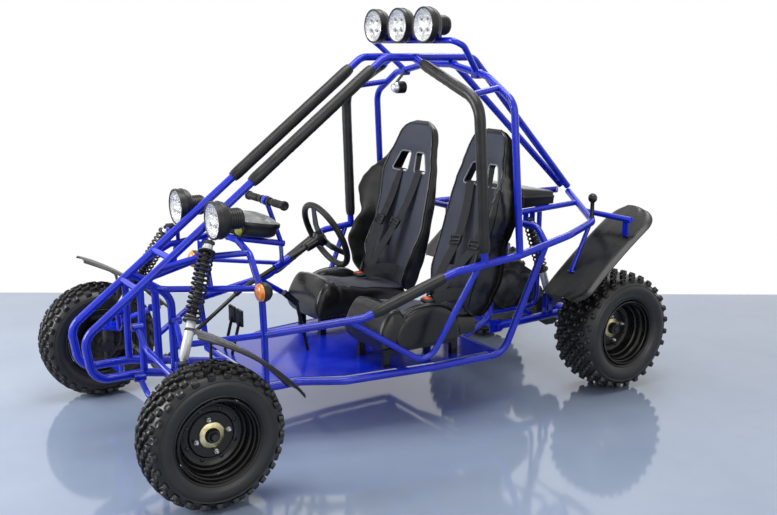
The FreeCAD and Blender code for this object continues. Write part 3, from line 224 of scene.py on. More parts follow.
class Shape:
    """Faces collected into one mesh, in millimetres."""

    def __init__(self):
        self.verts = []
        self.faces = []
        self.marks = []

    def add(self, verts, faces, mark=0):
        return self.join([Vector(v) for v in verts], faces, [mark] * len(faces))

    def rings(self, rings, mark=0, closed=False, start_cap=True, end_cap=True):
        """Skins a list of equal rings of points. The faces of a solid are turned outward."""
        sides = len(rings[0])
        verts = [Vector(p) for ring in rings for p in ring]
        faces = []
        count = len(rings)
        for i in range(count if closed else count - 1):
            j = (i + 1) % count
            for k in range(sides):
                n = (k + 1) % sides
                faces.append((i * sides + k, i * sides + n, j * sides + n, j * sides + k))
        if not closed:
            if start_cap:
                faces.append(tuple(range(sides))[::-1])
            if end_cap:
                faces.append(tuple((count - 1) * sides + k for k in range(sides)))
        if (closed or start_cap or end_cap) and look_inward(verts, faces):
            faces = [face[::-1] for face in faces]
        return self.add(verts, faces, mark)

    def tube(self, points, dia, bend=70, sides=20, step=8, mark=0, closed=False):
        path = rounded(points, bend, step) if not closed else points
        rings = [circle(p, a, b, dia / 2, sides) for p, a, b in frames(path, closed)]
        return self.rings(rings, mark, closed)

    def rod(self, start, end, radius, sides=20, mark=0, chamfer=0):
        """A straight bar, with its edges eased when it has a chamfer."""
        if not chamfer:
            return self.tube([start, end], 2 * radius, sides=sides, mark=mark)
        line = (end - start).normalized()
        profile = [(0, radius - chamfer), (chamfer, radius)]
        length = (end - start).length
        profile += [(length - chamfer, radius), (length, radius - chamfer)]
        return self.lathe(start, line, profile, sides, mark)

    def lathe(self, centre, axis, profile, sides=32, mark=0, closed=False, caps=True):
        side = axis.cross(Z if abs(axis.z) < 0.9 else X).normalized()
        up = side.cross(axis)
        rings = [circle(centre + axis * place, side, up, radius, sides) for place, radius in profile]
        return self.rings(rings, mark, closed, caps, caps)

    def box(self, low, high, mark=0, ease=1.5, turn=None):
        """A box with eased edges, turned about its own middle when asked."""
        low, high = Vector(low), Vector(high)
        middle = (low + high) / 2
        half = (high - low) / 2
        ease = min(ease, half.x * 0.6, half.y * 0.6, half.z * 0.6)
        rings = []
        for z, inset in ((-half.z, ease), (-half.z + ease, 0), (half.z - ease, 0), (half.z, ease)):
            ring = []
            for sx, sy in ((1, 1), (-1, 1), (-1, -1), (1, -1)):
                a = Vector((sx * (half.x - inset), sy * (half.y - inset - ease), z))
                b = Vector((sx * (half.x - inset - ease), sy * (half.y - inset), z))
                ring += [a, b] if sx * sy > 0 else [b, a]
            rings.append([middle + (turn @ p if turn else p) for p in ring])
        return self.rings(rings, mark)

    def other(self):
        """The mirror image by itself."""
        twin = Shape()
        return twin.join(flipped(self.verts), [face[::-1] for face in self.faces], self.marks)

    def join(self, verts, faces, marks):
        base = len(self.verts)
        self.verts += verts
        self.faces += [tuple(base + k for k in face) for face in faces]
        self.marks += marks
        return self

    def mirror(self):
        """Adds the same on the vehicle's other side."""
        twin = self.other()
        return self.join(twin.verts, twin.faces, twin.marks)

    def piece(self, name, node=None, mats=(BLUE,), slot="blue_tube", body="chassis", angle=38, subdivide=0):
        """A visible object on a body, which takes the place of a CAD node when one is named."""
        mesh = bpy.data.meshes.new(name)
        mesh.from_pydata([v * MM for v in self.verts], [], self.faces)
        mesh.validate()
        for mat in mats:
            mesh.materials.append(mat)
        for polygon, mark in zip(mesh.polygons, self.marks):
            polygon.material_index = mark
            polygon.use_smooth = True
        mesh.set_sharp_from_angle(angle=radians(angle))
        mesh.update()
        item = placed(name, mesh)
        if subdivide:
            hold_slots(mesh)
            modifier = item.modifiers.new("smooth", "SUBSURF")
            modifier.levels = subdivide
            modifier.render_levels = subdivide
        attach(item, body)
        if node:
            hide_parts(node)
        return item

    def pair(self, name, node, mats, slot, body):
        """The left piece and its mirror image, each on the body of its side."""
        for side, shape in (("left", self), ("right", self.other())):
            shape.piece(name.format(side), node.format(side), mats, slot, body.format(side))


def hold_slots(mesh):
    """Keeps the rims of the slots sharp under subdivision. Their walls, in the third finish, end there."""
    walls, shell = set(), set()
    for polygon in mesh.polygons:
        (walls if polygon.material_index == 2 else shell).update(polygon.edge_keys)
    edge_crease = mesh.attributes.new("crease_edge", "FLOAT", "EDGE")
    corner_crease = mesh.attributes.new("crease_vert", "FLOAT", "POINT")
    for edge in mesh.edges:
        if edge.key in walls and edge.key in shell:
            edge_crease.data[edge.index].value = 1.0
            for corner in edge.key:
                corner_crease.data[corner].value = 1.0


def circle(centre, a, b, radius, sides, start=0.0):
    turns = [start + 2 * pi * k / sides for k in range(sides)]
    return [centre + a * (radius * cos(turn)) + b * (radius * sin(turn)) for turn in turns]


def eased(value, power):
    """A sine or cosine raised to a power below one, which squares a circle's corners."""
    return copysign(abs(value) ** power, value)


def ribbed(first, count, pitch, rib):
    """A turned profile's row of equal ribs."""
    return [(first + k * pitch + place, radius) for k in range(count) for place, radius in rib]


def rounded(points, bend, step):
    """The route with each corner turned into an arc of short chords."""
    out = [points[0]]
    for before, corner, after in zip(points, points[1:], points[2:]):
        back = (before - corner).normalized()
        ahead = (after - corner).normalized()
        inside = back.angle(ahead)
        turn = pi - inside
        if turn < 0.02:
            continue
        reach = min(bend / tan(inside / 2), (before - corner).length * 0.48, (after - corner).length * 0.48)
        radius = reach * tan(inside / 2)
        centre = corner + (back + ahead).normalized() * (radius / sin(inside / 2))
        spoke = corner + back * reach - centre
        axis = ahead.cross(back).normalized()
        count = max(2, round(degrees(turn) / step))
        for k in range(count + 1):
            out.append(centre + Matrix.Rotation(turn * k / count, 3, axis) @ spoke)
    out.append(points[-1])
    return out


def frames(path, closed=False):
    """Each point of a path with two directions across it that don't twist."""
    count = len(path)
    out = []
    side = None
    for k in range(count):
        after = path[(k + 1) % count] if closed or k < count - 1 else path[k]
        before = path[k - 1] if closed or k else path[k]
        ahead = (after - before).normalized()
        if side is None:
            side = ahead.cross(Z if abs(ahead.z) < 0.9 else X).normalized()
        side = (side - ahead * side.dot(ahead)).normalized()
        out.append((path[k], side, ahead.cross(side)))
    return out


# The tube frame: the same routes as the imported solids, with true round bends

TUBE, HOOP, BRACE, LIGHT = 32, 31, 26, 20
SPINE_X, FLOOR_Z, NOSE_Z, TAIL_Z, DECK_Z = 91, 237, 316, 312, 785
COWL_Y, TAIL_Y, AXLE_Y = -658, 560, 1015
SHOCK_Y, SHOCK_FOOT_Y, REAR_SHOCK_Y, REAR_FOOT_Y = -819, -1010, 760, 905
spine = [
    vec(SPINE_X, -640, FLOOR_Z), vec(SPINE_X, -1050, NOSE_Z), vec(SPINE_X, -1246, NOSE_Z),
    vec(SPINE_X, -1270, 482), vec(SPINE_X, 31, 1490), vec(SPINE_X, 490, 1490), vec(24, 1145, 862),
]
side_rail = [
    vec(325, -655, 462), vec(430, -276, 494), vec(538, 78, 657), vec(538, 417, 688),
    vec(538, 687, 745), vec(430, 930, 766), vec(40, 1137, 838),
]
lower_rail = [
    vec(300, -640, FLOOR_Z), vec(300, -500, FLOOR_Z), vec(390, -340, FLOOR_Z), vec(440, 60, FLOOR_Z),
    vec(446, 417, FLOOR_Z), along(side_rail, "y", 556),
]
v_tube = [along(side_rail, "y", -333), vec(474, 0, 268), along(side_rail, "y", 203)]
front_hoop = [vec(SPINE_X, 182, 1486), vec(522, 200, 1326), along(side_rail, "y", 233)]
main_left = [along(side_rail, "y", 417), vec(522, 376, 1316), vec(347, 376, 1415), vec(SPINE_X, 372, 1460)]
cowl_left = [
    vec(300, -640, FLOOR_Z), vec(325, -655, 462), vec(317, COWL_Y, 623), vec(218, COWL_Y, 757),
    vec(106, COWL_Y, 792),
]
lamp_bar_left = [along(main_left[::-1], "x", 275), vec(326, 266, 1538), vec(314, 222, 1560)]


def slope_at(y):
    return along(spine[3:], "y", y)


def ears(shape, y, low, high, ease=1.5):
    """The two plates of a bracket, one before and one behind a shock's eye."""
    for edge in (-22.3, 16.3):
        shape.box((low[0], y + edge, low[1]), (high[0], y + edge + 6, high[1]), ease=ease)


Shape().tube(spine, TUBE, 72, 24, 6).mirror().piece("centre_tubes", "spine_tubes")
Shape().tube(side_rail, TUBE, 90, 24).mirror().piece("hip_rails", "side_rails")

floor = Shape().tube(lower_rail, HOOP, 80).mirror()
for station in (-640, -60, 400):
    reach = along(lower_rail, "y", station).x
    floor.tube([vec(-reach, station, FLOOR_Z), vec(reach, station, FLOOR_Z)], BRACE)
floor.piece("floor_tubes", "floor_frame")
Shape().tube(v_tube, BRACE, 70).mirror().piece("side_v_tubes", "v_tubes")
Shape().tube(front_hoop, HOOP, 110).mirror().piece("front_hoop_tubes", "front_hoop")

hoops = Shape().tube(main_left + flipped(main_left[::-1]), HOOP, 80)
link_tube = [along(front_hoop, "x", 463), along(main_left[::-1], "x", 424)]
links = Shape().tube(link_tube, BRACE).mirror()
hoops.join(links.verts, links.faces, links.marks)
hoops.piece("main_hoop_tube", "main_hoop")

bar = Shape().tube(lamp_bar_left + flipped(lamp_bar_left[::-1]), BRACE, 45)
foot = lamp_bar_left[0]
clamps = Shape().box(foot - vec(22, 19, 24), foot + vec(20, 19, 14), ease=4).mirror()
bar.join(clamps.verts, clamps.faces, clamps.marks)
bar.piece("roof_lamp_bar", "lamp_bar")

cross = Shape()
for station in (-928, -1061, 182, 480):
    height = slope_at(station).z
    cross.tube([vec(-SPINE_X, station, height), vec(SPINE_X, station, height)], BRACE)
apex = along(spine[5:], "y", 1115)
cross.tube([vec(-apex.x, apex.y, apex.z), apex], LIGHT)
cross.piece("cross_tubes", "spine_crossbars")

post = [slope_at(-1051), vec(SPINE_X, -1051, NOSE_Z)]
arch = [slope_at(-1030), vec(SPINE_X, -933, 604), vec(SPINE_X, -929, along(spine[:2], "y", -929).z)]
Shape().tube(post, BRACE + 2).tube(arch, HOOP, 90).mirror().piece("front_posts", "bulkhead_tubes")

dash = [vec(0, COWL_Y, 788), vec(0, -404, 734)]
cowl = Shape().tube(cowl_left + flipped(cowl_left[::-1]), BRACE + 1, 55).tube(dash, BRACE)
cowl.piece("cowl_tubes", "cowl_hoop")

upper_rail = [slope_at(-975), vec(150, -841, 752), along(cowl_left, "z", 760)]
middle_rail = [slope_at(-1044), vec(96, -960, 632), along(cowl_left, "z", 640)]
foot_rail = [vec(SPINE_X, -929, 400), vec(325, -655, 462)]
link_post = [along(upper_rail, "y", -812), along(middle_rail, "y", -812)]
upper_at = along(upper_rail, "y", SHOCK_Y)
nose = Shape().tube(upper_rail, BRACE - 1, 60).tube(middle_rail, BRACE - 1, 60).tube(link_post, LIGHT)
nose.tube(foot_rail, BRACE - 1)
ears(nose, SHOCK_Y, (upper_at.x - 7, upper_at.z - 4), (upper_at.x + 27, 819))
nose.mirror().piece("nose_tubes", "nose_rails")

# Tail
rear_left = [along(side_rail, "y", TAIL_Y), vec(478, TAIL_Y, DECK_Z)]
deck = [vec(190, TAIL_Y, DECK_Z), along(side_rail[5:], "x", 190)]
deck_cross = along(deck, "y", 885)
tail = Shape()
tail.tube([vec(170, TAIL_Y, DECK_Z), vec(170, TAIL_Y, TAIL_Z), vec(170, 407, FLOOR_Z)], BRACE, 60)
tail.tube(deck, BRACE)
tail.tube([vec(120, 885, deck_cross.z), vec(120, 885, TAIL_Z), vec(100, TAIL_Y, TAIL_Z)], BRACE - 2, 60)
tail.box((178, 550, 238), (186, 620, 298))
shock_top = along(deck, "y", REAR_SHOCK_Y) - vec(0, 0, 44)
ears(tail, shock_top.y, (shock_top.x - 17, shock_top.z - 14), (shock_top.x + 17, shock_top.z + 44))
tail.mirror()
tail.tube(rear_left + flipped(rear_left[::-1]), BRACE + 2, 70)
tail.tube([vec(-170, TAIL_Y, TAIL_Z), vec(170, TAIL_Y, TAIL_Z)], BRACE - 1)
tail.tube([vec(-190, deck_cross.y, deck_cross.z), deck_cross], BRACE - 1)
tail.piece("tail_tubes", "tail_frame")

# Plain nodes that stay, each with a finish of its own
KEPT = {
    "floor_pan": BLUE, "seat_rails": BLACK_PAINT, "knuckle_left": DARK_STEEL, "knuckle_right": DARK_STEEL,
    "column_bracket": BLUE, "lower_shaft": BLACK_PAINT, "steering_rack": ZINC, "rack_housing": CAST,
    "controls": BLACK_PAINT, "rear_axle": DARK_STEEL, "engine": CAST,
}
for name, mat in KEPT.items():
    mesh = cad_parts[name].data
    mesh.materials.clear()
    mesh.materials.append(mat)

# Suspension arms, swing arm and mudguard bars, with round tube and turned bosses


def arm(shape, pivot_z, ball_z, drop):
    front_eye, rear_eye = vec(120, -1079, pivot_z), vec(120, -929, pivot_z)
    ball = vec(520, -AXLE_Y, ball_z)
    shape.tube([front_eye, vec(156, -1063, pivot_z - drop), ball], 22, 60).tube([rear_eye, ball], 22)
    for eye in (front_eye, rear_eye):
        shape.lathe(eye - Y * 20, Y, [(0, 12), (0, 15), (40, 15), (40, 12)], 24)
        shape.lathe(eye - Y * 23, Y, [(0, 0.5), (0, 11), (46, 11), (46, 0.5)], 20, mark=1)
    shape.lathe(ball - Z * 13, Z, [(0, 14), (0, 18), (2, 19), (23, 19), (25.5, 17), (25.5, 1)], 28)


arms = Shape()
arm(arms, 508, 338, 80)
arm(arms, 308, 178, 60)
ears(arms, SHOCK_FOOT_Y, (377, 358), (407, 436), 4)
arms.mirror().piece("suspension_arms", "wishbones", [BLUE, BLACK_PAINT])

swing = Shape().tube([vec(174, 600, 264), vec(165, AXLE_Y, 272)], 38)
swing.lathe(vec(137, AXLE_Y, 272), X, [(0, 22), (0, 36), (4, 40), (52, 40), (56, 36), (56, 22)], 36)
for at in circle(vec(193, AXLE_Y, 272), Y, Z, 30, 4, pi / 4):
    swing.lathe(at, X, [(0, 5.5), (3, 5.5), (4, 4), (4, 0.5)], 6, mark=1)
ears(swing, REAR_FOOT_Y, (165, 272), (195, 384), 4)
swing.mirror()
swing.rod(vec(-204, 600, 264), vec(204, 600, 264), 17, 28, chamfer=2)
swing.rod(vec(-170, 800, 292), vec(170, 800, 292), 14, 24)
swing.piece("rear_swing_arm", "swing_arm", [BLUE, DARK_STEEL])

guard_bar_at = along(side_rail[5:], "y", 1000)
strut_top = along(side_rail[4:], "y", 900)
guard_bars = Shape().tube([guard_bar_at, vec(592, 1000, guard_bar_at.z)], BRACE)
guard_bars.lathe(vec(590, 1000, guard_bar_at.z), X, [(0, 13.5), (3, 13.5), (4.5, 12), (4.5, 1)], 24)
guard_bars.box((545, 996, 712), (579, 1004, guard_bar_at.z), ease=3)
guard_bars.tube([strut_top, vec(strut_top.x, 800, 557)], LIGHT)
guard_bars.box((strut_top.x - 17, 790, 551), (strut_top.x + 17, 812, 557), ease=3)
guard_bars.mirror().piece("mudguard_bars", "fender_bars")

# Foam sleeves, each with its seam and lacing


def sleeve(shape, points, radius, bend, seam):
    path = rounded(points, bend, 7)
    dense = []
    for a, b in zip(path, path[1:]):
        count = max(1, int((b - a).length / 14))
        dense += [a + (b - a) * (k / count) for k in range(count)]
    dense.append(path[-1])
    rings = []
    last = len(dense) - 1
    for k, (p, a, b) in enumerate(frames(dense)):
        ring = []
        for m in range(28):
            turn = 2 * pi * m / 28
            out = a * cos(turn) + b * sin(turn)
            toward = max(0.0, out.dot(seam))
            groove = 3.4 * max(0.0, (toward - 0.985) / 0.015)
            swell = 0.7 * noise.noise(p * 0.03 + out * 0.8)
            end = 4.0 if k in (0, last) else (1.2 if k in (1, last - 1) else 0)
            ring.append(p + out * (radius - 0.8 - groove + swell - end))
        rings.append(ring)
    shape.rings(rings)
    for k in range(3, last - 1, 3):
        p, a, b = frames(dense)[k]
        out = (seam - (b.cross(a)) * seam.dot(b.cross(a))).normalized()
        run = (dense[k + 1] - dense[k]).normalized()
        across = run.cross(out)
        aside, foot = across * 6 + run * 3, p + out * (radius - 2.4)
        shape.tube([foot - aside, p + out * (radius - 0.6), foot + aside], 2.4, 3, 8, 30, mark=1)


screen = Shape()
sleeve(screen, [slope_at(-584), slope_at(-29)], 26, 70, vec(0.3, -0.2, -0.9).normalized())
screen.mirror().piece("screen_sleeves", "screen_pads", [FOAM, WEBBING], "foam")
pillars = Shape()
pillar_route = [along(front_hoop, "x", 151), front_hoop[1], along(front_hoop[1:], "z", 720)]
sleeve(pillars, pillar_route, 24, 110, vec(-0.75, -0.55, -0.3).normalized())
pillars.mirror().piece("pillar_sleeves", "pillar_pads", [FOAM, WEBBING], "foam")
rails = Shape()
rail_route = [along(side_rail, "y", -240), along(side_rail, "y", 40)]
sleeve(rails, rail_route, 24, 70, vec(-0.6, 0, -0.8).normalized())
rails.mirror().piece("rail_sleeves", "rail_pads", [FOAM, WEBBING], "foam")

# Wheels

FRONT_HUB, REAR_HUB = vec(657, -AXLE_Y, 254), vec(493, AXLE_Y, 272)


def wheel_point(centre, across, radius, turn):
    return centre + vec(across, radius * cos(turn), radius * sin(turn))


BEAD = 146.3

# The carcass from the bead to the crown: how far out over its half width, and up over its height
CROWN = (
    (0.72, 0.002), (0.8, 0.01), (0.86, 0.07), (0.89, 0.1), (0.87, 0.13), (0.94, 0.2), (0.985, 0.35),
    (1.0, 0.5), (0.985, 0.62), (0.955, 0.66), (0.965, 0.69), (0.94, 0.715), (0.85, 0.85), (0.69, 0.925),
    (0.46, 0.974), (0.2, 0.996), (0.0, 1.0),
)


def carcass_at(place, half, base):
    """A place on the tread's curve, from 0 at the middle to 1 down the shoulder, and its normal."""
    curve = [(x * half, BEAD + (base - BEAD) * r) for x, r in CROWN[:10:-1]]
    lengths = [hypot(b[0] - a[0], b[1] - a[1]) for a, b in zip(curve, curve[1:])]
    run = place * sum(lengths)
    for (a, b), length in zip(zip(curve, curve[1:]), lengths):
        if run <= length or b == curve[-1]:
            f = run / length
            dx, dr = (b[0] - a[0]) / length, (b[1] - a[1]) / length
            return a[0] + (b[0] - a[0]) * f, a[1] + (b[1] - a[1]) * f, -dr, dx
        run -= length


def lug(shape, centre, side, spot, turn, size, height, slant, dimple):
    """A moulded block square to the tread, with drafted sides, an eased top and a dimple in it."""
    across, radius, nx, nr = spot
    width, length = size
    rings = []
    steps = 12
    for level, scale in (
        (-0.25, 1.2), (0.72, 1.0), (0.93, 0.93), (1, 0.78), (1 - dimple * 0.4, 0.58), (1 - dimple, 0.42),
        (1 - dimple, 0.05),
    ):
        ring = []
        for k in range(steps):
            angle = 2 * pi * k / steps
            c, s = cos(angle), sin(angle)
            u = eased(c, 0.6) * width / 2 * scale
            v = eased(s, 0.6) * length / 2 * scale
            u, v = u * cos(slant) - v * sin(slant), u * sin(slant) + v * cos(slant)
            out = height * level - v * v / (2 * radius)
            x = across + u * nr + out * nx
            r = radius - u * nx + out * nr
            ring.append(wheel_point(centre, side * x, r, turn + v / r))
        rings.append(ring)
    shape.rings(rings, start_cap=False)


def tyre(centre, width, lug_height, rows, count, dimple):
    """A tyre that stands on the ground: the carcass and its rows of lugs, each a little off its pitch."""
    shape = Shape()
    half = width / 2
    base = centre.z - lug_height
    profile = [(-half * x, BEAD + (base - BEAD) * r) for x, r in CROWN]
    profile += [(-x, r) for x, r in profile[-2::-1]]
    shape.lathe(centre, X, profile, 120, closed=True)
    rnd = random.Random(7)
    for index in range(count):
        for place, w, l, tall, shift, slant in rows:
            spot = carcass_at(place, half, base)
            for side in (-1, 1):
                pitch = index + shift + (0.5 if side < 0 else 0)
                turn = 2 * pi * pitch / count + rnd.uniform(-0.004, 0.004)
                lug(shape, centre, side, spot, turn, (w, l), tall * lug_height, side * slant, dimple)
    return shape


front_rows = (
    (0.1, 14, 38, 0.93, 0.0, 0.22), (0.33, 18, 31, 0.95, 0.55, 0.12), (0.57, 20, 26, 0.95, 0.1, 0.08),
    (0.82, 21, 24, 0.9, 0.6, 0.0),
)
rear_rows = (
    (0.1, 24, 25, 0.93, 0.0, 0.05), (0.33, 24, 25, 0.95, 0.5, 0.05), (0.57, 23, 24, 0.95, 0.0, 0.05),
    (0.82, 22, 24, 0.85, 0.5, 0.0),
)
front_tyre = tyre(FRONT_HUB, 168, 13, front_rows, 25, 0.2)
rear_tyre = tyre(REAR_HUB, 236, 15, rear_rows, 27, 0.42)
front_tyre.pair("tyre_front_{}", "front_tyre_{}", [RUBBER], "tyre", "wheel_front_{}")
rear_tyre.pair("tyre_rear_{}", "rear_tyres", [RUBBER], "tyre", "rear_axle")


def rim(centre, width, disc):
    """A pressed rim: rolled lips, stepped bead seats, the well and the dished disc."""
    half = width / 2
    front = [
        (half - 3, 145), (half + 1, 146), (half + 3, 143.5), (half + 2, 140), (half - 4, 137.5),
        (half - 12, 136.5), (half - 15, 133), (half - 34, 131), (half - 38, 127), (half - 44, 123),
        (half - 62, 121), (half - 66, 116), (disc + 16, 113), (disc + 8, 108), (disc + 6, 102),
        (disc + 3, 98), (disc + 3, 84), (disc + 8, 78), (disc + 8, 26),
    ]
    back = [
        (disc + 1, 26), (disc + 1, 74), (disc - 4, 82), (disc - 4, 100), (disc - 6, 116), (disc - 10, 124),
        (-half + 34, 127), (-half + 14, 134), (-half + 3, 137), (-half, 141), (-half, 145), (-half + 5, 145),
        (-half + 20, 141), (0, 139), (half - 20, 141),
    ]
    shape = Shape().lathe(centre, X, front + back, 96, closed=True)
    for at in circle(centre + X * (disc + 2), Y, Z, 92, 8, pi / 8):
        shape.lathe(at, X, [(0, 8), (4, 7), (5, 5), (5, 0.5)], 12)
    return shape


def hub(centre, disc, inner):
    """The zinc flange plate with flats, its castle nut, and four wheel nuts on their studs."""
    shape = Shape()
    face = centre.x + disc + 8
    plate = []
    for level, size in ((0, 46), (5, 46), (7, 43)):
        ring = []
        for k in range(48):
            turn = 2 * pi * k / 48
            flat = min(size, (size - 2) / max(abs(cos(turn)), abs(sin(turn)), 0.01))
            ring.append(vec(face + level, centre.y + flat * cos(turn), centre.z + flat * sin(turn)))
        plate.append(ring)
    shape.rings(plate)
    cap = [(0, 27), (10, 25), (16, 22), (16, 16), (24, 15), (28, 12), (28, 0.5)]
    shape.lathe(vec(face + 7, centre.y, centre.z), X, cap, 32, mark=1)
    for at in circle(vec(face - 6, centre.y, centre.z), Y, Z, 60, 4, 0.2):
        shape.lathe(at, X, [(0, 13), (3, 13), (4, 10.5), (14, 10.5), (17, 8.5), (17, 6)], 6, mark=2)
        shape.lathe(at + X * 17, X, [(0, 6), (8, 6), (9.5, 4.5)], 14, mark=2)
    length = face - inner
    boss = [(0, 24), (2, 27), (length - 24, 27), (length - 22, 68), (length - 14, 70), (length - 13, 66)]
    shape.lathe(vec(inner, centre.y, centre.z), X, boss, 32, mark=3)
    return shape


FRONT_DISC, REAR_DISC = -6, -8
rim(FRONT_HUB, 146, FRONT_DISC).pair(
    "rim_front_{}", "front_rim_{}", [BLACK_PAINT], "black_steel", "wheel_front_{}")
rim(REAR_HUB, 200, REAR_DISC).pair("rim_rear_{}", "rear_rims", [BLACK_PAINT], "black_steel", "rear_axle")
hub_mats = [BRASS, DARK_STEEL, ZINC, CAST]
front_hub = hub(FRONT_HUB, FRONT_DISC, 552)
front_hub.pair("hub_front_{}", "front_hub_{}", hub_mats, "bright_steel", "wheel_front_{}")
rear_hubs = hub(REAR_HUB, REAR_DISC, 440).mirror()
rear_hubs.piece("hubs_rear", mats=hub_mats, slot="bright_steel", body="rear_axle")

# Mudguards: curved sheets with rolled edges and a raised centre


def guard(places, inner_x, outer_x, turned_edge, trim):
    """A sheet on the arc through three points, trimmed to its outline, with turned edges."""
    (y1, z1), (y2, z2), (y3, z3) = places
    a = y2 - y1, z2 - z1, (y2 ** 2 - y1 ** 2 + z2 ** 2 - z1 ** 2) / 2
    b = y3 - y1, z3 - z1, (y3 ** 2 - y1 ** 2 + z3 ** 2 - z1 ** 2) / 2
    scale = a[0] * b[1] - a[1] * b[0]
    cy = (a[2] * b[1] - b[2] * a[1]) / scale
    cz = (a[0] * b[2] - b[0] * a[2]) / scale
    radius = hypot(y1 - cy, z1 - cz)
    start = atan2(z1 - cz, y1 - cy)
    end = atan2(z3 - cz, y3 - cy)
    steps, across = 36, 18
    top, under = [], []
    for i in range(steps + 1):
        t = i / steps
        turn = start + (end - start) * t
        low, high = trim(t)
        row_top, row_under = [], []
        for k in range(across + 1):
            u = k / across
            x = inner_x + (outer_x - inner_x) * (low + (high - low) * u)
            edge = min(u, 1 - u) * (across / 2)
            drop = turned_edge * max(0.0, 1 - edge) ** 2
            rib = 1.8 if 0.3 < u < 0.7 else 0
            for row, depth in ((row_top, 0), (row_under, 4)):
                reach = radius - 2.2 - depth - drop + rib
                row.append(vec(x, cy + reach * cos(turn), cz + reach * sin(turn)))
        top.append(row_top)
        under.append(row_under)
    rings = [t_row + u_row[::-1] for t_row, u_row in zip(top, under)]
    return Shape().rings(rings)


def front_trim(t):
    ease = 0.14 * max(0.0, 1 - t * 7) ** 2 + 0.1 * max(0.0, (t - 0.88) / 0.12) ** 2
    return ease, 1 - ease


def rear_trim(t):
    foot = 0.2 * max(0.0, 1 - t / 0.12) ** 2
    tip = max(0.0, (t - 0.8) / 0.2)
    return 0.2 * tip ** 3, 1 - foot - 0.5 * (1 - sqrt(max(0.0, 1 - tip ** 2)))


front_arc = ((-1067, 630), (-880, 532), (-681, 350))
rear_arc = ((700, 462), (925, 656), (1165, 822))
front_guard = guard(front_arc, 573.5, 740.5, 9, front_trim)
front_guard.pair("mudguard_front_{}", "front_fender_{}", [GUARD_WITH_SHEEN], "black_plastic", "knuckle_{}")
rear_guard = guard(rear_arc, 351, 621, 12, rear_trim)
rear_guard.mirror().piece("mudguards_rear", "rear_fenders", [GUARD_WITH_SHEEN], "black_plastic")

# Shock absorbers


def shock(shape, top, bottom, coil, wire, turns):
    """A coil spring over a damper: spring seats, the white body, a pale top collar and an eye at each end."""
    line = bottom - top
    length = line.length
    line.normalize()
    side = line.cross(Y).normalized()
    up = side.cross(line)
    shape.rod(top, bottom, 7, 16, mark=1)
    start, stop = length * 0.07, length * 0.64
    path = []
    steps = turns * 18
    for k in range(steps + 1):
        turn = 2 * pi * turns * k / steps
        place = start + 6 + (stop - start - 12) * k / steps
        path.append(top + line * place + side * (coil * cos(turn)) + up * (coil * sin(turn)))
    shape.tube(path, wire, bend=0.01, sides=8, step=90)
    lip, can = coil + wire / 2, length - stop
    for at, profile, mark in (
        (start - 4, [(0, 10), (0, lip), (5, lip), (9, coil - 6), (9, 9)], 2),
        (stop - 4, [(0, 9), (0, coil), (4, lip), (10, lip), (12, 19)], 2),
        (stop, [(0, 16), (4, 18), (can - 26, 18), (can - 18, 12), (can - 8, 9)], 3),
    ):
        shape.lathe(top + line * at, line, profile, 28, mark)
    shape.lathe(top + line * (start + 4), line, [(0, 13), (stop - start - 10, 13)], 20, mark=1)
    shape.lathe(top + line * 4, line, [(0, 12), (2, 19), (start - 12, 21), (start - 9, 18)], 28, mark=3)
    for eye in (top, bottom):
        shape.lathe(eye - Y * 15.5, Y, [(0, 9), (0, 14), (2, 15), (29, 15), (31, 14), (31, 9)], 24, mark=2)
        shape.lathe(eye - Y * 24, Y, [(0, 0.5), (0, 8), (48, 8), (48, 0.5)], 6, mark=1)
    return shape


shocks = Shape()
shock(shocks, vec(205, SHOCK_Y, 812), vec(392, SHOCK_FOOT_Y, 424), 29, 8.5, 14)
shock(shocks, shock_top, vec(184, REAR_FOOT_Y, 372), 26, 8.5, 10)
shock_mats = [BLACK_PAINT, DARK_STEEL, DARK_STEEL, SILVER]
shocks.mirror().piece("shock_absorbers", "shocks", shock_mats, "bright_steel")

# Lamps


def lamp(shape, lens):
    """A drum with a narrower ribbed barrel behind it, a bowl with four small ones, and a clear lens."""
    drum = [
        (2, 66), (0, 69), (0, 73), (3, 74), (10, 74), (12, 72), (24, 72), (26, 74), (34, 73.5), (37, 71),
        (46, 69), (54, 64), (60, 57),
    ]
    barrel = [(63, 48), (64, 42), (66, 40)]
    barrel += ribbed(67, 5, 9, ((0, 41.5), (6, 41.5), (7, 39.5), (8.5, 39.5)))
    barrel += [(114, 39.5), (120, 37), (124, 31), (125.5, 22), (125.5, 4)]
    shape.lathe(lens, Y, drum + barrel, 48, caps=False)
    bowl = [(3, 68), (8, 64), (22, 52), (30, 34), (33, 14), (33, 1)]
    shape.lathe(lens, Y, bowl, 40, mark=1, caps=False)
    for at in circle(lens + Y * 8, X, Z, 31, 4, pi / 4):
        shape.lathe(at, Y, [(16, 3), (2, 17), (1, 18), (0, 17.5), (0, 15), (8, 9), (12, 2)], 20, mark=1)
        shape.lathe(at, Y, [(9, 5), (3, 5), (1, 3), (0.5, 0.5)], 12)
    shape.lathe(lens, Y, [(2.5, 66), (1, 60), (0.3, 40), (0.05, 20), (0, 0.5)], 40, mark=2, caps=False)


headlights = Shape()
lens_at = vec(190, -798, 895)
lamp(headlights, lens_at)
stalk_low = slope_at(-738)
headlights.tube([stalk_low, lens_at + vec(6, 50, -62), lens_at + vec(0, 52, -40)], 12, 14, 12, mark=3)
headlights.mirror()
for place in (-195, 0, 195):
    at = vec(place, 150, 1622)
    lamp(headlights, at)
    for side in (-1, 1):
        headlights.box((place + side * 16 - 3, 210, 1567), (place + side * 16 + 3, 236, 1596), mark=3)
    headlights.rod(vec(place, 222, 1572), vec(place, 222, 1584), 10, mark=3)
headlights.piece("spot_lamps", "lamps", [PLASTIC, CHROME, GLASS, BLUE], "black_plastic")

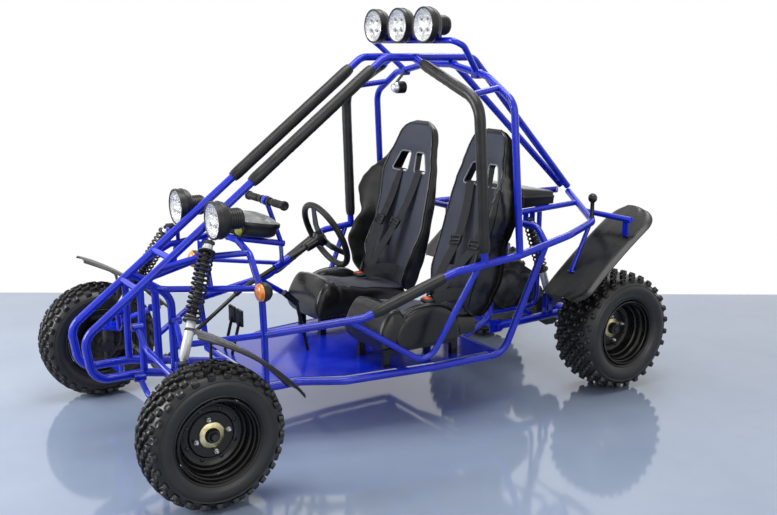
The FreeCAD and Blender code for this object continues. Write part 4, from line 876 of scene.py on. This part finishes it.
# Turn signals: round ones on the cowl hoop, stalked ones on the tail
signals = Shape()
leg = along(cowl_left, "z", 634)
signal_at = leg + vec(34, -2, 0)
signals.rod(leg + vec(4, 0, 0), signal_at + vec(-8, 16, 0), 6, 16)
signals.lathe(
    signal_at, -Y, [(-31, 2), (-30, 12), (-26, 22), (-16, 32), (-4, 37), (10, 38.5), (12, 37), (12, 33)], 36)
signals.lathe(
    signal_at - Y * 10, -Y, [(0, 35), (5, 36), (10, 34), (17, 28), (22, 18), (24, 8), (24.5, 1)], 36, mark=1)
tail_foot = along(side_rail[5:], "x", 412)
signals.lathe(tail_foot, Z, [(8, 14), (20, 10), (78, 9), (84, 11), (84, 2)], 20)
signals.lathe(
    tail_foot + vec(0, -19, 100), Y, [(0, 2), (3, 12), (9, 19), (19, 22.5), (29, 19), (35, 12), (38, 2)], 28)
signals.mirror().piece("signal_lamps", "turn_signals", [PLASTIC, AMBER], "amber")

# Steering wheel: padded ring, three flat spokes, hub boss and column

tilt = radians(25)
down = vec(0, -cos(tilt), -sin(tilt))
up_axis = vec(0, -sin(tilt), cos(tilt))
wheel = vec(-286, -48, 686)
steering = Shape().tube(circle(wheel, X, up_axis, 158, 72), 29, sides=20, closed=True)
steering.rod(wheel + down * 30, wheel + down * 468, 10.5, mark=1)
steering.lathe(
    wheel + down * 16, down, [(0, 1), (0, 34), (3, 38), (28, 38), (32, 33), (40, 24), (96, 22), (100, 16)],
    36, mark=1)
for angle in (90, 210, 330):
    out = radians(angle)
    reach = X * cos(out) + up_axis * sin(out)
    across = reach.cross(down)
    path = [wheel + down * 26 + reach * 26, wheel + down * 24 + reach * 70, wheel + reach * 150]
    rings = []
    for p, half in zip(path, (29, 23, 17)):
        w, h = across * half, down * 2.5
        rings.append([p + w + h, p + w - h, p - w - h, p - w + h])
    steering.rings(rings, mark=1)
steering.lathe(wheel + down * 463, down, [(0, 3), (3, 7), (11, 7), (14, 3)], 20, mark=2)
steering.piece("wheel_and_column", "steering_wheel", [GRIP, BLACK_PAINT, ZINC], "grip_rubber", "steering")

# Seats


def smooth(t):
    t = min(1.0, max(0.0, t))
    return t * t * (3 - 2 * t)


def table(points, t):
    """A value read off a short table, eased between its rows."""
    for (a, va), (b, vb) in zip(points, points[1:]):
        if t <= b:
            return va + (vb - va) * smooth((t - a) / (b - a))
    return points[-1][1]


FOOT, HEAD = vec(0, 300, 412), vec(0, 478, 1190)
LEAN = (HEAD - FOOT).normalized()
OUT = vec(0, -LEAN.z, LEAN.y)
SEAT_X = 270

# The backrest at each height, from 0 to 1. The inner edge, the outer seam and the bolster's rim have two
# tables each, how far outward and how far forward they run. The middle and the back have only the second
INNER = (
    (0, 158), (0.1, 172), (0.2, 191), (0.36, 202), (0.47, 196), (0.6, 188), (0.7, 177), (0.8, 155),
    (0.87, 141), (0.92, 129), (0.955, 112), (0.98, 84), (1.0, 44),
)
INNER_OUT = ((0, 52), (0.18, 48), (0.4, 24), (0.8, 18), (1.0, 14))
MIDDLE_OUT = ((0, 14), (0.13, 30), (0.3, 14), (0.5, 6), (0.78, 7), (0.86, 19), (0.95, 20), (1.0, 14))
SEAM = (
    (0, 120), (0.1, 176), (0.2, 206), (0.3, 196), (0.4, 184), (0.5, 182), (0.68, 184), (0.76, 168),
    (0.85, 141), (0.92, 126), (0.955, 107), (0.98, 79), (1.0, 40),
)
SEAM_OUT = ((0, 44), (0.2, 56), (0.4, 38), (0.5, 38), (0.68, 48), (0.76, 42), (0.9, 30), (1.0, 14))
RIM = (
    (0, 150), (0.1, 192), (0.22, 226), (0.32, 225), (0.4, 214), (0.47, 236), (0.535, 250), (0.6, 244),
    (0.66, 229), (0.72, 203), (0.78, 172), (0.85, 152), (0.92, 136), (0.955, 117), (0.98, 88), (1.0, 46),
)
RIM_OUT = (
    (0, 84), (0.1, 132), (0.22, 156), (0.32, 140), (0.4, 114), (0.47, 128), (0.535, 141), (0.6, 130),
    (0.66, 106), (0.7, 80), (0.75, 50), (0.82, 36), (0.9, 27), (1.0, 12),
)
REAR_OUT = ((0, -42), (0.5, -34), (0.66, -25), (0.82, -25), (0.9, -30), (1.0, -26))
BOLSTER_SECTION = (
    (0.1, 0.1), (0.24, 0.32), (0.38, 0.55), (0.53, 0.76), (0.68, 0.91), (0.82, 1.0), (0.93, 0.97),
    (1.0, 0.86),
)
SLOT_LOW, SLOT_HIGH, SLOT_MIDDLE = 0.686, 0.808, 8
INNER_SEAM, OUTER_SEAM, LAST_COLUMN = 2, 19, 31
SLOT_COLUMNS, SLOT_STEPS = (3, 4, 5, 10, 11, 12), (0, 0.005, 0.013, 0.026)
PANEL_TOP = 0.973


def slot_edges(t):
    """How far from their middle the two belt slots begin and end, or would run above and below them."""
    u = (t - SLOT_LOW) / (SLOT_HIGH - SLOT_LOW)
    if -0.01 <= u <= 1.01:
        corner = 12 * max(0.0, 1 - min(u, 1 - u) / 0.12) ** 2
        return 26 - 6 * u + corner, 134 - 42 * u - corner
    away = smooth(abs(u - 0.5) * 0.9 - 0.4)
    inner, outer = (38, 122) if u < 0 else (32, 80)
    half = (table(INNER, t) + table(SEAM, t)) / 2
    return inner + (half * 0.3 - inner) * away, outer + (half * 0.7 - outer) * away


def back_place(t, column):
    """How far outward and forward a column of the backrest lies, counted from its inner edge."""
    inner, seam, rim = table(INNER, t), table(SEAM, t), table(RIM, t)
    inner_out, seam_out, rim_out = table(INNER_OUT, t), table(SEAM_OUT, t), table(RIM_OUT, t)
    if column < INNER_SEAM:
        return ((-inner, inner_out - 15), (-inner + 3, inner_out - 4))[column]
    if column <= OUTER_SEAM:
        near, far = slot_edges(t)
        edge = 9 - inner
        stations = [edge + (SLOT_MIDDLE - far - edge) * k / 3 for k in range(3)]
        stations += [SLOT_MIDDLE - far + (far - near) * k / 3 for k in range(3)]
        stations += [SLOT_MIDDLE - near + near * k / 2 for k in range(5)]
        stations += [SLOT_MIDDLE + near + (far - near) * k / 3 for k in (1, 2, 3)]
        stations += [SLOT_MIDDLE + far + (seam - SLOT_MIDDLE - far) * k / 4 for k in (1, 2, 3, 4)]
        w = stations[column - INNER_SEAM]
        middle = table(MIDDLE_OUT, t)
        limit, limit_out = (seam, seam_out) if w > SLOT_MIDDLE else (edge, inner_out)
        share = (w - SLOT_MIDDLE) / (limit - SLOT_MIDDLE)
        return w, middle + (limit_out - middle) * max(0.0, share) ** 2.2
    section = column - OUTER_SEAM - 1
    if section < len(BOLSTER_SECTION):
        across, up = BOLSTER_SECTION[section]
        return seam + (rim - seam) * across, seam_out + (rim_out - seam_out) * up
    rise = rim_out - seam_out
    return (
        (rim + 0.5, seam_out + rise * 0.62 - 2), (rim - 3, seam_out + rise * 0.3 - 7),
        (rim - 10 - rise * 0.06, seam_out - 16), (rim - 16 - rise * 0.1, -8),
    )[section - len(BOLSTER_SECTION)]


def seat_point(w, forward, t):
    return vec(SEAT_X + w, 0, 0) + FOOT + (HEAD - FOOT) * t + OUT * forward


def seat_rows():
    """Stations up the backrest, closer together round the belt slots."""
    slot_rows = [SLOT_LOW + d for d in SLOT_STEPS] + [SLOT_HIGH - d for d in SLOT_STEPS[::-1]]
    rows = [k / 46 for k in range(47) if min(abs(k / 46 - s) for s in slot_rows) > 0.011]
    return sorted(rows + slot_rows + [0.969, 0.985, 0.9915, 0.9965])


def in_slot(*heights):
    return all(SLOT_LOW - 0.001 < t < SLOT_HIGH + 0.001 for t in heights)


def seat_back():
    """The left backrest: a woven panel in a thin shell with one outer bolster and two belt slots."""
    rows = seat_rows()
    front, back = [], []
    for t in rows:
        top = sqrt(max(0.06, 1 - max(0.0, (t - 0.955) / 0.047) ** 2))
        shut = top * sqrt(max(0.2, 1 - max(0.0, 1 - t / 0.03) ** 2))
        row, rear = [], []
        for column in range(LAST_COLUMN + 1):
            w, forward = back_place(t, column)
            crease = 0.0
            if column > OUTER_SEAM + 1:
                crease = 2.4 * noise.noise(vec(w * 0.012, t * 26, forward * 0.01)) * (1 if t < 0.76 else 0.2)
            row.append(seat_point(w, -4 + (forward + crease + 4) * shut, t))
            behind = table(REAR_OUT, t) + 14 * min(1.0, abs(w) / table(RIM, t)) ** 4
            rear.append(seat_point(w * 0.98, -4 + (min(behind, forward - 8) + 4) * shut, t))
        front.append(row)
        back.append(rear)
    spots, order = [], {}
    for layer, grid in enumerate((front, back)):
        for i, row in enumerate(grid):
            for k, q in enumerate(row):
                order[layer, i, k] = len(spots)
                spots.append(q)
    cells = {(i, k) for i in range(len(rows) - 1) for k in range(LAST_COLUMN)}
    slots = {(i, k) for i, k in cells if in_slot(rows[i], rows[i + 1]) and k - INNER_SEAM in SLOT_COLUMNS}
    faces = []
    for i, k in sorted(cells - slots):
        round_cell = ((i, k), (i, k + 1), (i + 1, k + 1), (i + 1, k))
        woven = INNER_SEAM <= k < OUTER_SEAM and rows[i] < PANEL_TOP
        faces.append((1 if woven else 0, [(0, *at) for at in round_cell]))
        faces.append((0, [(1, *at) for at in round_cell[::-1]]))
        beyond = ((i - 1, k), (i, k + 1), (i + 1, k), (i, k - 1))
        for a, b, cell in zip(round_cell, round_cell[1:] + round_cell[:1], beyond):
            if cell in slots or cell not in cells:
                faces.append((2 if cell in slots else 0, [(0, *b), (0, *a), (1, *a), (1, *b)]))
    numbered = [tuple(order[at] for at in face) for mark, face in faces]
    return Shape().join(spots, numbered, [mark for mark, face in faces]), rows, front


def seat_trim(rows, front):
    """Piping round the woven panel and along the bolster, and the pale frames of the belt slots."""
    shape = Shape()
    up = [i for i, t in enumerate(rows) if 0.03 < t < PANEL_TOP]
    top = max(up) + 1
    welt = [front[i][INNER_SEAM] for i in up] + [front[top][k] for k in range(INNER_SEAM, OUTER_SEAM + 1)]
    welt += [front[i][OUTER_SEAM] for i in up[::-1]]
    shape.tube([q + OUT * 2 for q in welt], 6, bend=0.01, sides=8, step=90)
    ridge = [front[i][LAST_COLUMN - 3] + X for i in up if rows[i] < 0.76]
    shape.tube(ridge, 4.5, bend=0.01, sides=8, step=90)
    held = [i for i, t in enumerate(rows) if in_slot(t)]
    for first in (INNER_SEAM + 3, INNER_SEAM + 10):
        loop = [front[i][first] for i in held] + [front[held[-1]][first + k] for k in (1, 2)]
        loop += [front[i][first + 3] for i in held[::-1]] + [front[held[0]][first + k] for k in (2, 1)]
        shape.tube([q + OUT * 0.5 for q in loop], 7, sides=10, closed=True, mark=1)
    arch = [q + X * 1.5 for q in cushion_arch(1.0, 141)]
    shape.tube(arch, 5, bend=0.01, sides=8, step=90)
    return shape


CUSHION_HALF, CUSHION_FRONT, CUSHION_LENGTH = 152, -190, 472


def cushion_arch(scale, w):
    """The outer bolster of the cushion in side view, a low arch behind the front roll."""
    arch = []
    for k in range(25):
        turn = pi * k / 24
        c, s = cos(turn), sin(turn)
        y = 44 - eased(c, 0.86) * (126 + 42 * scale)
        arch.append(vec(SEAT_X + w, y, 342 + (110 + 46 * scale) * s ** 0.8))
    return arch


def seat_cushion():
    """The left cushion: a front roll, a middle that dips to the back and one arched outer bolster."""
    shape = Shape()
    rows, columns = 54, 44
    top, under = [], []
    for i in range(rows + 1):
        t = (i / rows) ** 1.15
        y = CUSHION_FRONT + CUSHION_LENGTH * t
        roll = sqrt(max(0.0, 1 - max(0.0, 1 - t / 0.16) ** 2))
        base = table(((0, 474), (0.13, 498), (0.21, 492), (0.25, 477), (0.36, 468), (0.6, 448), (1, 424)), t)
        base -= 10 * exp(-((t - 0.235) / 0.014) ** 2)
        row, low = [], []
        for k in range(columns + 1):
            u = -1 + 2 * k / columns
            crown = 12 * (1 - u * u) - 26 * max(0.0, (abs(u) - 0.82) / 0.18) ** 2.4
            crease = 1.8 * noise.noise(vec(u * 3, t * 9, 3))
            z = 346 + (base + crown + crease - 346) * (0.26 + 0.74 * roll)
            row.append(vec(SEAT_X + u * CUSHION_HALF * (0.93 + 0.07 * roll), y, z))
            low.append(vec(SEAT_X + u * CUSHION_HALF * 0.97, y + 12 * (1 - roll), 334 + 14 * abs(u) ** 5))
        top.append(row)
        under.append(low)
    shape.rings([upper + lower[::-1] for upper, lower in zip(top, under)])
    for i in range(rows):
        for k in range(3, columns - 3):
            if (i / rows) ** 1.15 > 0.235:
                shape.marks[i * (2 * columns + 2) + k] = 1
    sections = (
        (84, 0.1), (86, 0.6), (92, 0.86), (102, 0.98), (116, 1.02), (130, 1.0), (141, 0.94), (149, 0.82),
        (153, 0.6), (154, 0.2),
    )
    shape.rings([cushion_arch(scale, w)[::-1] for w, scale in sections])
    return shape


def ribbon(shape, path, width, across):
    """Flat webbing along a path, a little thicker inside its edges."""
    rings = []
    for k, q in enumerate(path):
        ahead = (path[min(k + 1, len(path) - 1)] - path[max(k - 1, 0)]).normalized()
        side = (across - ahead * across.dot(ahead)).normalized()
        face = ahead.cross(side)
        w, h = side * (width / 2), face * 0.8
        crown = h * 1.4
        rings.append([q + w + h, q + w * 0.9 + crown, q - w * 0.9 + crown, q - w + h, q - w - h, q + w - h])
    shape.rings(rings)


def belts():
    """The left seat's belts: two shoulder straps from the slots to the buckle, and the lap halves."""
    shape = Shape()
    buckle = vec(SEAT_X + 14, 146, 478)
    for lip_w, lip_t, slide_w in ((-68, 0.694, -26), (92, 0.69, 108)):
        lip = seat_point(lip_w, 16, lip_t)
        slide = seat_point(slide_w, 56, 0.371)
        run = slide - lip
        path = [lip - OUT * 46 + LEAN * 4, lip - OUT * 14 + LEAN * 8, lip + LEAN * 2]
        path += [lip + run * f - OUT * (9 * sin(pi * f)) for f in [k / 9 for k in range(1, 10)]]
        foot = buckle + vec(8 if lip_w > 0 else -22, 22, 10)
        path += [slide.lerp(foot, f) + OUT * (10 * sin(pi * f)) for f in [k / 7 for k in range(1, 8)]]
        ribbon(shape, path, 54, X)
        lean = -run.normalized()
        across = (X - lean * X.dot(lean)).normalized()
        turn = Matrix((across, lean.cross(across).normalized(), lean)).transposed()
        face = -turn.col[1] if turn.col[1].dot(OUT) < 0 else turn.col[1]
        at = slide + face * 13
        bars = [(lean * up, vec(33, 3.5, 4)) for up in (-17, 0, 17)]
        bars += [(across * aside, vec(3.5, 4, 21)) for aside in (-31, 31)]
        for away, half in bars:
            shape.box(at + away - half, at + away + half, mark=2, turn=turn)
        tail = [slide + lean * s + face * (7 + 4 * sin(pi * (s + 120) / 150)) for s in range(-110, 34, 12)]
        ribbon(shape, tail, 48, X)
    for sign in (-1, 1):
        lap = []
        for k in range(15):
            g = k / 14
            lap.append(buckle + vec(sign * (24 + 124 * g), 104 * g, 6 + 34 * sin(pi * g * 0.75) + 2 * g))
        ribbon(shape, lap, 50, vec(0, 0.4, 0.9))
    shape.box(buckle + vec(-30, -38, -10), buckle + vec(30, 34, 10), mark=1, ease=6)
    shape.box(buckle + vec(-19, -36, 6), buckle + vec(19, -6, 14), mark=3, ease=4)
    return shape


back, rows, front = seat_back()
trim, cushion, straps = seat_trim(rows, front), seat_cushion(), belts()
shell_mats = [VINYL, WOVEN, BLACK_PAINT]
for name, node, made in (("left", "seat_left", lambda shape: shape), ("right", "seat_right", Shape.other)):
    padded = made(back).piece("seat_back_" + name, node, shell_mats, "seat_cover", angle=60, subdivide=1)
    padded = made(cushion).piece("seat_cushion_" + name, node, [VINYL, WOVEN], "seat_cover", angle=60)
    made(trim).piece("seat_trim_" + name, mats=[VINYL, SLOT_FRAME], slot="seat_cover")
    made(straps).piece("belts_" + name, mats=[WEBBING, PLASTIC, DARK_STEEL, RED], slot="seat_cover", angle=50)

# Instrument pod: a pale dome over a black rim band and a black bowl

pod_at, pod_along, pod_up = vec(0, -556, 846), vec(0, 0.985, -0.173), vec(0, 0.173, 0.985)


def pod_ring(scale, height):
    ring = []
    for k in range(48):
        turn = 2 * pi * k / 48
        c, s = cos(turn), sin(turn)
        a = eased(c, 0.8) * 112 * scale
        b = eased(s, 0.72) * 112 * scale
        ring.append(pod_at + X * a + pod_along * b + pod_up * height)
    return ring


pod = Shape()
dome = ((0.02, 38), (0.25, 36.5), (0.5, 31), (0.7, 23), (0.85, 14), (0.95, 6), (0.985, 2))
band = ((0.985, 2), (1.03, 4), (1.05, 0), (1.05, -11), (1.03, -15), (0.99, -15))
bowl = ((0.99, -15), (0.975, -17), (0.96, -30), (0.92, -46), (0.8, -56), (0.3, -58), (0.02, -58))
for mark, levels in ((0, dome), (1, band), (2, bowl)):
    pod.rings([pod_ring(scale, height) for scale, height in levels[::-1]], mark)
for at in circle(pod_at + pod_up, X * 112, pod_along * 108, 1, 6, pi / 6):
    pod.lathe(at, pod_up, [(0, 5), (3, 5), (4.5, 3.5), (4.5, 0.5)], 12, mark=3)
for side in (-1, 1):
    pod.tube([pod_at + X * (side * 70) - pod_up * 30 + pod_along * 70, vec(side * 60, -654, 792)], 10, mark=1)
eye = vec(118, -655, 832)
look = vec(0.55, -0.83, 0.05).normalized()
pod.lathe(eye, look, [(-16, 20), (0, 25), (6, 25), (8, 22), (6, 19), (2, 18)], 32, mark=2)
pod.lathe(eye + look * 2, look, [(0, 18), (4, 17), (8, 11), (9.5, 1)], 28, mark=4)
pod.piece("instrument_pod", "instrument_hood", [GREY_DOME, BLACK_PAINT, PLASTIC, ZINC, LIME], "black_plastic")

# Grab handle: a stem with an eye, a cross bar and two ribbed grips
grab_at, grab_foot = vec(0, -480, slope_at(-480).z - 173.1), vec(0, -418, 744)
grab = Shape().tube([grab_at, grab_foot], 20)
grab.lathe(
    grab_at - X * 13, X, [(0, 16), (2, 19), (5, 20), (21, 20), (24, 19), (26, 16), (26, 11), (0, 11)], 32,
    closed=True)
grab.rod(grab_at - X * 92, grab_at + X * 92, 9.5, 24, mark=1)
for side in (-1, 1):
    grip = [(26, 12), (27, 17), (34, 18), (40, 17), (42, 12.5), (68, 12.5), (70, 15)]
    grip += ribbed(73, 9, 9, ((0, 15.6), (2, 16), (6, 16), (7.5, 14.6)))
    grip += [(155, 15), (156, 18.5), (160, 19.5), (167, 19.5), (171, 17), (172, 12), (168, 7), (168, 0.5)]
    grab.lathe(grab_at, X * side, grip, 32, mark=2)
grab.piece("grab_handle_grips", "grab_handle", [BLUE, BLACK_PAINT, GRIP], "grip_rubber")

# Cabin lamp: a bright bowl in front of a ribbed barrel, on a stalk from the hoop
cabin_at = vec(-200, 278, 1352)
cabin = Shape().tube([cabin_at + vec(0, 0, 20), along(flipped(main_left[::-1]), "x", -260)], 13)
barrel = ribbed(3, 8, 5, ((0, 27.5), (3, 27.5), (3.5, 24), (4.5, 24)))
cabin.lathe(cabin_at, Y, [(2, 12), (2, 24), *barrel, (43.5, 26), (46, 21), (46, 1)], 36)
cabin.lathe(cabin_at, Y, [(3, 24), (-1, 25.5), (-10, 24), (-18, 18), (-22.5, 9), (-23.5, 1)], 36, mark=1)
cabin.piece("cabin_lamp_head", "cabin_lamp", [PLASTIC, CHROME], "black_plastic")

# Air box: a ribbed lid with a lip over a moulded tray, held by clips
BOX_FRONT_Y, BOX_BACK_Y, BOX_HALF, BOX_HEIGHT, BOX_CORNER = 718, 920, 190, 95, 16
box_front = along(deck, "y", BOX_FRONT_Y).z + BRACE / 2
box_back = along(deck, "y", BOX_BACK_Y).z + BRACE / 2


def box_top(y):
    """The lid's height, which falls toward the back."""
    return box_front + BOX_HEIGHT - 24 * max(0.0, (y - 738) / 182)


def box_ring(inset, low_share, lift):
    """A rounded outline at a share of the box's height, following its sloped foot and top."""
    middle_y, length = (BOX_FRONT_Y + BOX_BACK_Y) / 2, BOX_BACK_Y - BOX_FRONT_Y
    ring = []
    for sx, sy, start in ((1, 1, 0), (-1, 1, 90), (-1, -1, 180), (1, -1, 270)):
        for k in range(6):
            turn = radians(start + 18 * k)
            x = sx * (BOX_HALF - BOX_CORNER) + (BOX_CORNER - inset) * cos(turn)
            y = middle_y + sy * (length / 2 - BOX_CORNER) + (BOX_CORNER - inset) * sin(turn)
            foot = box_front + (box_back - box_front) * ((y - BOX_FRONT_Y) / length)
            ring.append(vec(x, y, foot + (box_top(y) - foot) * low_share + lift))
    return ring


air = Shape()
levels = (
    (6, 0, 1), (4, 0.02, 1), (2, 0.4, 0), (0.5, 0.5, -2), (0, 0.52, 0), (0, 0.6, 0), (1, 0.62, 0),
    (5, 0.64, 0), (7, 0.9, 0), (12, 0.985, -3),
)
air.rings([box_ring(*level) for level in levels])
for k in range(11):
    x = -160 + 32 * k
    rows = []
    for step in range(13):
        y = 736 + 14 * step
        top = box_top(y) - 3.5
        swell = 4.2 * sin(pi * (step + 0.5) / 13) ** 0.5
        section = ((-14, -3), (-11, swell * 0.6), (0, swell), (11, swell * 0.6), (14, -3))
        rows.append([vec(x + aside, y, top + up) for aside, up in section])
    air.rings(rows, mark=1)
for sx in (-150, -50, 50, 150):
    middle = box_front + BOX_HEIGHT / 2
    air.box((sx - 11, 712, middle - 14), (sx + 11, 718.5, middle + 16), mark=2, ease=2)
air.piece("air_box_case", "air_box", [PLASTIC, GREY_DOME, DARK_STEEL], "black_plastic", angle=45)

# Silencer: a rolled can with end caps, bands, its outlet and the pipe from the barrel
can_front, can_back = vec(-285, 830, 640), vec(-285, 1060, 660)
run = (can_back - can_front).normalized()
silencer = Shape().tube(
    [vec(-40, 670, 600), vec(-130, 670, 610), vec(-285, 750, 636), vec(-285, 838, 641)], 32, 60, mark=1)
can = [
    (0, 18), (4, 30), (14, 42), (22, 44.5), (28, 44.5), (30, 43), (196, 43), (198, 44.5), (206, 44.5),
    (216, 40), (226, 26), (230, 16), (230, 1),
]
silencer.lathe(can_front, run, can, 48)
for place in (58, 150):
    silencer.lathe(can_front + run * place, run, [(0, 43), (0, 45), (14, 45), (14, 43)], 48, mark=2)
    y, z = can_front.y + place, 682 + place * 0.09
    silencer.box((-292, y + 2, z), (-278, y + 12, z + 15), mark=2, ease=2)
silencer.piece("silencer_and_pipe", "exhaust", [BLACK_PAINT, DARK_STEEL, ZINC], "black_steel")

# Engine dress: drive cover, starter cover, plug and ribbed intake boot on the plain block, with bolts round
# the covers and vents
dress = Shape()
VENTS = 10
cover = [
    (0, 92), (2, 96), (10, 97), (14, 94), (16, 84), (13, 78), (13, 60), (17, 54), (17, 30), (20, 26),
    (20, 1),
]
dress.lathe(vec(113, 700, 420), X, cover, 56)
dress.lathe(vec(113, 800, 420), X, [(0, 60), (8, 62), (12, 58), (14, 40), (14, 1)], 48)
dress.lathe(vec(-113, 710, 425), -X, [(0, 88), (3, 92), (16, 92), (20, 86), (22, 60), (18, 54), (18, 1)], 56)
for side, y0, z0, r in ((1, 700, 420, 90), (-1, 710, 425, 87)):
    for at in circle(vec(side * 124, y0, z0), Y, Z, r, 8, pi / 8):
        dress.lathe(at, X * side, [(-4, 6), (4, 6), (5, 4.5), (5, 0.5)], 6, mark=1)
for k, at in enumerate(circle(vec(-133, 710, 425), Y, Z, 34, VENTS)):
    turn = Matrix.Rotation(2 * pi * k / VENTS, 3, "X")
    dress.box(at - vec(2, 4, 14), at + vec(2, 4, 14), mark=2, ease=1, turn=turn)
dress.lathe(
    vec(-66, 670, 640), -X, [(0, 10), (8, 10), (8, 7), (26, 7), (26, 9), (34, 9), (36, 6), (36, 0.5)], 16,
    mark=2)
boot_path = [vec(30, 722, 650), vec(34, 748, 690), vec(34, 780, 760), vec(34, 790, box_front + 8)]
boot = rounded(boot_path, 60, 3)
rings = [circle(p, a, b, 26 + (2.4 if k % 2 else 0), 28) for k, (p, a, b) in enumerate(frames(boot))]
dress.rings(rings, mark=2)
dress.piece("engine_dress", mats=[CAST, DARK_STEEL, PLASTIC], slot="engine_alloy", angle=40)

# Camera, light and floor

LIGHTS = (
    ("key", (-1.4, -4.6, 2.4), 2.4, 190),
    ("top", (0.6, -0.3, 5.0), 3.0, 130),
    ("fill", (5.2, -0.4, 2.2), 3.0, 45),
    ("rim", (-2.0, 3.4, 5.2), 2.4, 80),
)
for name, place, size, power in LIGHTS:
    data = bpy.data.lights.new(name, "AREA")
    data.size = size
    data.energy = power
    light = placed(name, data)
    light.location = place
    light.rotation_euler = (Vector((0, 0, 0.6)) - Vector(place)).to_track_quat("-Z", "Y").to_euler()


def seen_or_mirrored(tree):
    """One where a ray comes from the camera, off gloss or through glass, otherwise nought."""
    paths = add_node(tree, "LightPath", {})
    last = paths.outputs["Is Camera Ray"]
    for name in ("Is Glossy Ray", "Is Transmission Ray"):
        both = add_node(tree, "Math", {})
        both.operation = "MAXIMUM"
        link(tree, last, both.inputs[0])
        link(tree, paths.outputs[name], both.inputs[1])
        last = both.outputs[0]
    return last


world = bpy.data.worlds.new("studio")
bpy.context.scene.world = world
world.use_nodes = True
tree = world.node_tree
background = fill(tree.nodes["Background"], {"Color": (0.95, 0.97, 1.0, 1), "Strength": 0.32})
bright = add_node(tree, "Background", {"Color": (1, 1, 1, 1), "Strength": 1.0})
mix = add_node(tree, "MixShader", {})
link(tree, seen_or_mirrored(tree), mix.inputs["Fac"])
link(tree, background.outputs[0], mix.inputs[1])
link(tree, bright.outputs[0], mix.inputs[2])
link(tree, mix.outputs[0], tree.nodes["World Output"].inputs["Surface"])

# The floor is a pale sheet that ends behind the vehicle, where the white backdrop starts
azimuth = radians(57.47)
behind = vec(-sin(azimuth), cos(azimuth), 0)
beside = vec(behind.y, -behind.x, 0)
SHEET_END = 1.8
floor_mesh = bpy.data.meshes.new("floor")
corners = [behind * a + beside * b for a, b in ((SHEET_END, -9), (-9, -9), (-9, 9), (SHEET_END, 9))]
floor_mesh.from_pydata(corners, [], [(0, 1, 2, 3)])
floor_mat, tree, shader = new_material("pale_floor", {"Roughness": 0.07, "IOR": 1.75})
tone = ramp(tree, noise_node(tree, 1.2).outputs["Fac"], (0.3, 0.37, 0.5), (0.35, 0.42, 0.55))
link(tree, tone, shader.inputs["Base Color"])
floor_mesh.materials.append(floor_mat)
floor_object = placed("floor", floor_mesh)

camera = placed("camera", bpy.data.cameras.new("camera"))
camera.data.sensor_width = 36
camera.data.lens = 45.17
elevation, roll = radians(12.34), radians(0.15)
back_axis = vec(sin(azimuth) * cos(elevation), -cos(azimuth) * cos(elevation), sin(elevation))
right = Z.cross(back_axis).normalized()
upward = back_axis.cross(right)
turned_right = right * cos(roll) + upward * sin(roll)
turned_up = upward * cos(roll) - right * sin(roll)
camera.matrix_world = Matrix((
    (turned_right.x, turned_up.x, back_axis.x, 3.583),
    (turned_right.y, turned_up.y, back_axis.y, -2.173),
    (turned_right.z, turned_up.z, back_axis.z, 1.544),
    (0, 0, 0, 1),
))
bpy.context.scene.camera = camera
bpy.context.scene.view_settings.view_transform = "Standard"
